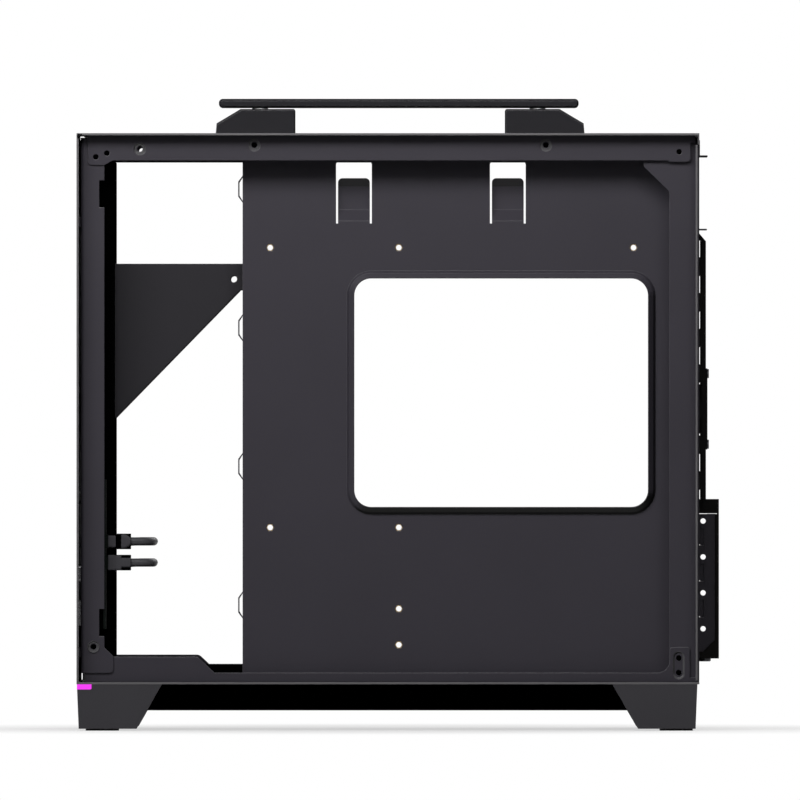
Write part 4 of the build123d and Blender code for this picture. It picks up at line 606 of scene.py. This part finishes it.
SHEET = 1.0 * MM
DIMPLE_DEPTH = 0.5 * MM
WASHER_RADIUS = 4.5 * MM
HANDLE_HEAD = (3.6 * MM, 2.2 * MM)
FOOT_HEAD = (3.2 * MM, 1.8 * MM)
FOOT_SCREW_Y = 81.0 * MM

washer_low, washer_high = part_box("handle_washers")
handle_places = [
    (x, y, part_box("stiffener_front")[1].z - SHEET)
    for x in (washer_low.x + WASHER_RADIUS, washer_high.x - WASHER_RADIUS)
    for y in (washer_low.y + WASHER_RADIUS, washer_high.y - WASHER_RADIUS)
]
screws("handle_screws", handle_places, (0, 0, -1), *HANDLE_HEAD)

base_low, base_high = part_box("base_frame")
foot_places = []
for foot_name in ("foot_front", "foot_rear"):
    foot_low, foot_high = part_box(foot_name)
    for y in (-FOOT_SCREW_Y, FOOT_SCREW_Y):
        foot_places.append(((foot_low.x + foot_high.x) / 2, y, base_low.z + SHEET))
screws("foot_screws", foot_places, (0, 0, 1), *FOOT_HEAD)

# Side-panel screw holes: a pressed ring in each dimple, lightened as a painted highlight, and a
# blind rivet in each corner hole, near black as painted shade
front_x = cad_box[0][0]
rail_y, rail_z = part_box("top_frame")[1].yz
column_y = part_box("front_frame")[1].y
rail_holes = [
    (front_x + 35.5 * MM, rail_z - 7.6 * MM),
    (-81.2 * MM, rail_z - 5.5 * MM),
    (82.7 * MM, rail_z - 5.5 * MM),
]
corner_holes = [
    (front_x + 10.8 * MM, rail_z - 12.1 * MM),
    (front_x + 17.0 * MM, rail_z - 10.0 * MM),
    (157.6 * MM, rail_z - 9.2 * MM),
]
column_hole = (front_x + 9.5 * MM, 47.1 * MM)
slot_centre = (157.4 * MM, 36.7 * MM)
SLOT_STRAIGHT = 8.9 * MM
SLOT_RIVET_REACH = 4.1 * MM
RAIL_RIVET_RISE = 0.2 * MM
SLOT_RIVET_RISE = 0.35 * MM
RING_PROFILE = in_mm(
    (3.38, -0.10), (3.38, 0.55), (3.22, 0.58), (2.72, 0.12),
    (2.25, 0.12), (2.10, 0.16), (1.60, -0.25), (1.60, -0.45),
)
SLOT_PROFILE = in_mm(
    (3.24, -0.10), (3.24, 0.52), (3.10, 0.56),
    (2.45, 0.06), (2.30, 0.02), (2.30, -0.10),
)
RIVET_PROFILE = in_mm((1.52, -0.9), (1.52, -0.55), (0.9, -0.35), (0.3, -0.30))


def pressed(name, form, places, side, slot_name, finish):
    """One form at each place on the near or the far side, in a finish of its own."""
    mesh = repeated(name, form, places, (0, side, 0))
    piece(name, mesh, slot_name).data.materials[0] = finish


for side_name, side in (("near", -1.0), ("far", 1.0)):
    ring_places = [(x, side * (rail_y - DIMPLE_DEPTH), z) for x, z in rail_holes]
    ring_places.append((column_hole[0], side * column_y, column_hole[1]))
    ring = turned("ring", RING_PROFILE, True)
    pressed(f"hole_rings_{side_name}", ring, ring_places, side, "case_paint", ring_painted_highlight)
    slot_place = (slot_centre[0], side * (base_high.y - DIMPLE_DEPTH), slot_centre[1])
    slot_ring = turned("slot_ring", SLOT_PROFILE, True, SLOT_STRAIGHT)
    pressed(f"slot_rim_{side_name}", slot_ring, [slot_place], side, "case_paint", ring_painted_highlight)
    rivet_places = [(x, side * rail_y, z) for x, z in corner_holes]
    rivet_places += [(x, side * (rail_y + RAIL_RIVET_RISE), z) for x, z in rail_holes[1:]]
    slot_rivet_y = side * (base_high.y + SLOT_RIVET_RISE)
    for reach in (SLOT_RIVET_REACH, -SLOT_RIVET_REACH):
        rivet_places.append((slot_centre[0], slot_rivet_y, slot_centre[1] + reach))
    rivet = turned("rivet", RIVET_PROFILE, False)
    # The rivets are near black as painted shade in the holes
    pressed(f"corner_rivets_{side_name}", rivet, rivet_places, side, "screw_steel", near_black_shade)

# The pressed rim of the tray's cut-out: its crest leans outwards up to the open edge
CUTOUT_LOW = (-25.0 * MM, 125.7 * MM)
CUTOUT_HIGH = (140.2 * MM, 254.2 * MM)
CUTOUT_RADIUS = 9.5 * MM
TRAY_Y = -72.5 * MM


def rounded_loop(shape, outset, y, corner_steps=10):
    """The outline of the cut-out grown by an outset, as points round it at one depth."""
    radius = CUTOUT_RADIUS + outset
    corners = (
        (CUTOUT_HIGH[0] - CUTOUT_RADIUS, CUTOUT_HIGH[1] - CUTOUT_RADIUS, 0.0),
        (CUTOUT_LOW[0] + CUTOUT_RADIUS, CUTOUT_HIGH[1] - CUTOUT_RADIUS, 0.5),
        (CUTOUT_LOW[0] + CUTOUT_RADIUS, CUTOUT_LOW[1] + CUTOUT_RADIUS, 1.0),
        (CUTOUT_HIGH[0] - CUTOUT_RADIUS, CUTOUT_LOW[1] + CUTOUT_RADIUS, 1.5),
    )
    return [
        shape.verts.new((x + radius * math.cos(angle), y, z + radius * math.sin(angle)))
        for x, z, turn in corners
        for angle in (math.pi * (turn + 0.5 * k / corner_steps) for k in range(corner_steps + 1))
    ]


def banded(name, bands):
    """A closed ring round the cut-out through bands of (outset, depth)."""
    shape = bmesh.new()
    loops = [rounded_loop(shape, outset, y) for outset, y in bands]
    for inner, outer in zip(loops, loops[1:] + loops[:1]):
        for k, corner in enumerate(inner):
            after = (k + 1) % len(inner)
            shape.faces.new((corner, inner[after], outer[after], outer[k]))
    return from_bmesh(name, shape)


lip_bands = (
    (0.05 * MM, TRAY_Y - 2.0 * MM),
    (0.05 * MM, TRAY_Y - 3.6 * MM),
    (0.25 * MM, TRAY_Y - 3.7 * MM),
    (3.10 * MM, TRAY_Y - 1.9 * MM),
    (3.00 * MM, TRAY_Y - 1.6 * MM),
)
piece("cutout_lip", banded("cutout_lip", lip_bands), "case_paint")


# Front cables: the given route of each, with its plugs
CABLE_DIAMETER = 4.8 * MM
UPPER_Z, LOWER_Z = 0.1063, 0.0944
FLOOR_Z = 0.03075
upper_route = [
    (-0.1506, -0.0810, UPPER_Z),
    (-0.1446, -0.0810, UPPER_Z),
    (-0.1392, -0.0772, UPPER_Z),
    (-0.1376, -0.0675, UPPER_Z),
    (-0.1388, -0.0580, UPPER_Z),
    (-0.1438, -0.0516, UPPER_Z),
    (-0.1516, -0.0500, UPPER_Z - 0.0002),
    (-0.1606, -0.0503, UPPER_Z - 0.0016),
    (-0.1670, -0.0500, UPPER_Z - 0.0074),
    (-0.1694, -0.0504, UPPER_Z - 0.0165),
    (-0.1692, -0.0499, UPPER_Z - 0.0330),
    (-0.1694, -0.0504, 0.0540),
    (-0.1670, -0.0499, 0.0420),
    (-0.1606, -0.0503, 0.0334),
    (-0.1500, -0.0498, FLOOR_Z),
    (-0.1320, -0.0504, FLOOR_Z),
    (-0.0980, -0.0496, FLOOR_Z),
    (-0.0500, -0.0490, FLOOR_Z),
    (0.0000, -0.0460, FLOOR_Z),
    (0.0440, -0.0475, FLOOR_Z),
    (0.0740, -0.0410, FLOOR_Z),
    (0.0880, -0.0240, FLOOR_Z),
    (0.0820, -0.0040, FLOOR_Z),
    (0.0620, 0.0070, FLOOR_Z),
    (0.0320, 0.0060, FLOOR_Z),
    (0.0020, 0.0090, FLOOR_Z),
    (-0.0180, 0.0090, FLOOR_Z),
]
lower_route = [
    (-0.1506, -0.0810, LOWER_Z),
    (-0.1446, -0.0810, LOWER_Z),
    (-0.1392, -0.0778, LOWER_Z),
    (-0.1376, -0.0702, LOWER_Z),
    (-0.1390, -0.0628, LOWER_Z),
    (-0.1444, -0.0582, LOWER_Z),
    (-0.1516, -0.0574, LOWER_Z - 0.0002),
    (-0.1606, -0.0577, LOWER_Z - 0.0018),
    (-0.1670, -0.0573, LOWER_Z - 0.0074),
    (-0.1694, -0.0577, LOWER_Z - 0.0160),
    (-0.1692, -0.0573, 0.0620),
    (-0.1694, -0.0577, 0.0490),
    (-0.1668, -0.0572, 0.0394),
    (-0.1600, -0.0576, 0.0328),
    (-0.1496, -0.0572, FLOOR_Z),
    (-0.1320, -0.0578, FLOOR_Z),
    (-0.0980, -0.0570, FLOOR_Z),
    (-0.0500, -0.0576, FLOOR_Z),
    (0.0000, -0.0600, FLOOR_Z),
    (0.0480, -0.0580, FLOOR_Z),
    (0.0920, -0.0610, FLOOR_Z),
    (0.1220, -0.0590, FLOOR_Z),
    (0.1380, -0.0590, FLOOR_Z),
]


def cable_curve(name, route):
    """A round cable along one smooth spline through its route."""
    line = bpy.data.curves.new(name, "CURVE")
    line.dimensions = "3D"
    spline = line.splines.new("NURBS")
    spline.points.add(len(route) - 1)
    for point, place in zip(spline.points, route):
        point.co = (*place, 1.0)
    spline.order_u = 3
    spline.use_endpoint_u = True
    spline.resolution_u = 8
    line.bevel_depth = CABLE_DIAMETER / 2
    line.bevel_resolution = 5
    line.use_fill_caps = True
    line.materials.append(finishes["cable_jacket"])
    made = bpy.data.objects.new(name, line)
    bpy.context.scene.collection.objects.link(made)
    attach(made, "chassis")
    return made


def lofted(name, sections, sides=32):
    """A closed form along X through (x, y, z, half width, half height, squareness) sections."""
    shape = bmesh.new()
    loops = []
    for x, centre_y, centre_z, half_y, half_z, squareness in sections:
        loop = []
        for k in range(sides):
            angle = 2 * math.pi * (k + 0.5) / sides
            c, s = math.cos(angle), math.sin(angle)
            y = centre_y + half_y * math.copysign(abs(c) ** (2 / squareness), c)
            z = centre_z + half_z * math.copysign(abs(s) ** (2 / squareness), s)
            loop.append(shape.verts.new((x, y, z)))
        loops.append(loop)
    for lower, upper in zip(loops, loops[1:]):
        for k in range(sides):
            after = (k + 1) % sides
            shape.faces.new((lower[k], lower[after], upper[after], upper[k]))
    shape.faces.new(loops[0])
    shape.faces.new(loops[-1])
    return from_bmesh(name, shape)


def joined(name, meshes):
    """Several meshes as one."""
    shape = bmesh.new()
    for mesh in meshes:
        shape.from_mesh(mesh)
        bpy.data.meshes.remove(mesh)
    made = bpy.data.meshes.new(name)
    shape.to_mesh(made)
    shape.free()
    return made


PLUG_NECK = 3.9 * MM
PLUG_SHIFT = 0.8 * MM


def cable_plug(level, tapered):
    """The moulded plug on the front board: a square neck, a grip and a short relief."""
    name = f"cable_plug_{level}"
    low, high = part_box(name)
    y, z = (low.y + high.y) / 2, (low.z + high.z) / 2
    half_y, half_z = (high.y - low.y) / 2, (high.z - low.z) / 2
    neck_z = half_z * (0.74 if tapered else 0.97)
    body_x = low.x + PLUG_NECK
    shell_y, grip_y = y + PLUG_SHIFT, y - PLUG_SHIFT
    neck = lofted(
        name + "_neck",
        [
            (low.x, y, z, half_y * 0.90, neck_z, 12),
            (body_x - 0.4 * MM, y, z, half_y * 0.90, neck_z, 12),
            (body_x + 0.3 * MM, y, z, half_y * 0.86, neck_z * 0.96, 12),
        ],
    )
    shell = lofted(
        name + "_shell",
        [
            (body_x, shell_y, z, half_y * 0.70, half_z * 0.94, 12),
            (body_x + 0.4 * MM, shell_y, z, half_y * 0.76, half_z, 12),
            (high.x - 0.3 * MM, shell_y, z, half_y * 0.76, half_z, 12),
            (high.x, shell_y, z, half_y * 0.70, half_z * 0.94, 12),
        ],
    )
    grip_rings = (
        ((3.4, 0.88, 6), (3.7, 0.93, 6), (5.4, 0.92, 5), (7.4, 0.74, 4), (8.7, 0.50, 3))
        if tapered
        else ((0.3, 0.90, 12), (0.6, 0.95, 12), (3.3, 0.95, 12), (3.6, 0.62, 6), (8.7, 0.62, 6))
    )
    grip = lofted(
        name + "_grip",
        [
            (body_x + start * MM, grip_y, z, half_y * 0.70, half_z * share, squareness)
            for start, share, squareness in grip_rings
        ],
    )
    made = piece(name + "_moulding", joined(name, [neck, grip]), "black_plastic")
    sleeve = piece(name + "_shell", shell, "black_plastic")
    sleeve.data.materials[0] = near_black_shade
    return [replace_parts(made, name), sleeve]


for level, route, tapered in (("upper", upper_route, True), ("lower", lower_route, False)):
    plug_pieces = cable_plug(level, tapered)
    cable = cable_curve(f"front_cable_{level}", route)
    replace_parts(cable, f"cable_{level}")


# Floor: a round pale sheet that keeps the shadow near the case and fades to the white backdrop
FLOOR_RADIUS = 1.6
FADE_START, FADE_END = 0.16, 0.42
SHADOW_SHARE = 0.40


def floor_finish():
    """White to the eye at its rim, and a pale sheet that takes shadow near the case."""
    material, tree, shader = new_finish("pale floor")
    shader.inputs["Base Color"].default_value = (0.9, 0.9, 0.9, 1.0)
    shader.inputs["Roughness"].default_value = 0.9
    shader.inputs["Specular IOR Level"].default_value = 0.0
    glow = linked(tree, "ShaderNodeEmission", Strength=1.0)
    coordinates = tree.nodes.new("ShaderNodeTexCoord").outputs["Object"]
    reach = linked(tree, "ShaderNodeVectorMath", operation="LENGTH")
    tree.links.new(coordinates, reach.inputs[0])
    fade = linked(
        tree, "ShaderNodeMapRange", interpolation_type="SMOOTHSTEP", From_Min=FADE_START,
        From_Max=FADE_END, To_Min=1.0 - SHADOW_SHARE, To_Max=1.0,
    )
    tree.links.new(reach.outputs["Value"], fade.inputs["Value"])
    rays = tree.nodes.new("ShaderNodeLightPath")
    seen = linked(tree, "ShaderNodeMath", operation="MAXIMUM")
    tree.links.new(rays.outputs["Is Camera Ray"], seen.inputs[0])
    tree.links.new(rays.outputs["Is Glossy Ray"], seen.inputs[1])
    seen_all = linked(tree, "ShaderNodeMath", operation="MAXIMUM")
    tree.links.new(seen.outputs[0], seen_all.inputs[0])
    tree.links.new(rays.outputs["Is Transmission Ray"], seen_all.inputs[1])
    share = linked(tree, "ShaderNodeMath", operation="MULTIPLY")
    tree.links.new(fade.outputs["Result"], share.inputs[0])
    tree.links.new(seen_all.outputs[0], share.inputs[1])
    mix = tree.nodes.new("ShaderNodeMixShader")
    tree.links.new(share.outputs[0], mix.inputs["Fac"])
    tree.links.new(shader.outputs[0], mix.inputs[1])
    tree.links.new(glow.outputs[0], mix.inputs[2])
    dark = linked(tree, "ShaderNodeBsdfDiffuse")
    dark.inputs["Color"].default_value = (0.06, 0.06, 0.06, 1.0)
    still = tree.nodes.new("ShaderNodeMixShader")
    tree.links.new(rays.outputs["Is Diffuse Ray"], still.inputs["Fac"])
    tree.links.new(mix.outputs[0], still.inputs[1])
    tree.links.new(dark.outputs[0], still.inputs[2])
    tree.links.new(still.outputs[0], tree.nodes["Material Output"].inputs["Surface"])
    return material


floor_shape = bmesh.new()
bmesh.ops.create_circle(floor_shape, cap_ends=True, radius=FLOOR_RADIUS, segments=96)
floor_mesh = bpy.data.meshes.new("floor")
floor_shape.to_mesh(floor_mesh)
floor_shape.free()
floor_mesh.materials.append(floor_finish())
floor = bpy.data.objects.new("floor", floor_mesh)
bpy.context.scene.collection.objects.link(floor)


# Light: a large lamp high on the front left, one over the top edge and a soft one behind
def lamp(name, place, target, width, height, power):
    """A flat lamp at a place, turned to a point."""
    data = bpy.data.lights.new(name, "AREA")
    data.shape = "RECTANGLE"
    data.size = width
    data.size_y = height
    data.energy = power
    made = bpy.data.objects.new(name, data)
    made.location = place
    made.rotation_euler = (Vector(target) - Vector(place)).to_track_quat("-Z", "Y").to_euler()
    made.visible_camera = False
    bpy.context.scene.collection.objects.link(made)
    return made


CASE_MIDDLE = (0.0, -0.08, 0.18)
lamp("key_lamp", (-1.25, -1.85, 1.20), CASE_MIDDLE, 1.3, 1.4, 9.5)
lamp("top_lamp", (-0.12, -0.70, 0.72), (0.0, -0.08, 0.33), 1.2, 0.25, 5.8)
lamp("back_lamp", (0.9, 1.3, 1.2), CASE_MIDDLE, 1.2, 1.2, 12.0)


ROOM_IN_FRONT, ROOM_BEHIND = 0.004, 0.45


def studio_world():
    """White to the eye all round; for light, a dim room in front and a paler backdrop behind."""
    world = bpy.data.worlds.new("studio")
    bpy.context.scene.world = world
    world.use_nodes = True
    tree = world.node_tree
    room = tree.nodes["Background"]
    room.inputs["Color"].default_value = (1.0, 1.0, 1.0, 1.0)
    white = linked(tree, "ShaderNodeBackground", Strength=1.0)
    white.inputs["Color"].default_value = (1.0, 1.0, 1.0, 1.0)
    direction = tree.nodes.new("ShaderNodeTexCoord").outputs["Generated"]
    parts = tree.nodes.new("ShaderNodeSeparateXYZ")
    tree.links.new(direction, parts.inputs[0])
    level = linked(
        tree, "ShaderNodeMapRange", interpolation_type="SMOOTHSTEP", From_Min=-0.1, From_Max=0.7,
        To_Min=ROOM_IN_FRONT, To_Max=ROOM_BEHIND,
    )
    tree.links.new(parts.outputs["Y"], level.inputs["Value"])
    tree.links.new(level.outputs["Result"], room.inputs["Strength"])
    rays = tree.nodes.new("ShaderNodeLightPath")
    mix = tree.nodes.new("ShaderNodeMixShader")
    tree.links.new(rays.outputs["Is Camera Ray"], mix.inputs["Fac"])
    tree.links.new(room.outputs[0], mix.inputs[1])
    tree.links.new(white.outputs[0], mix.inputs[2])
    tree.links.new(mix.outputs[0], tree.nodes["World Output"].inputs["Surface"])


studio_world()
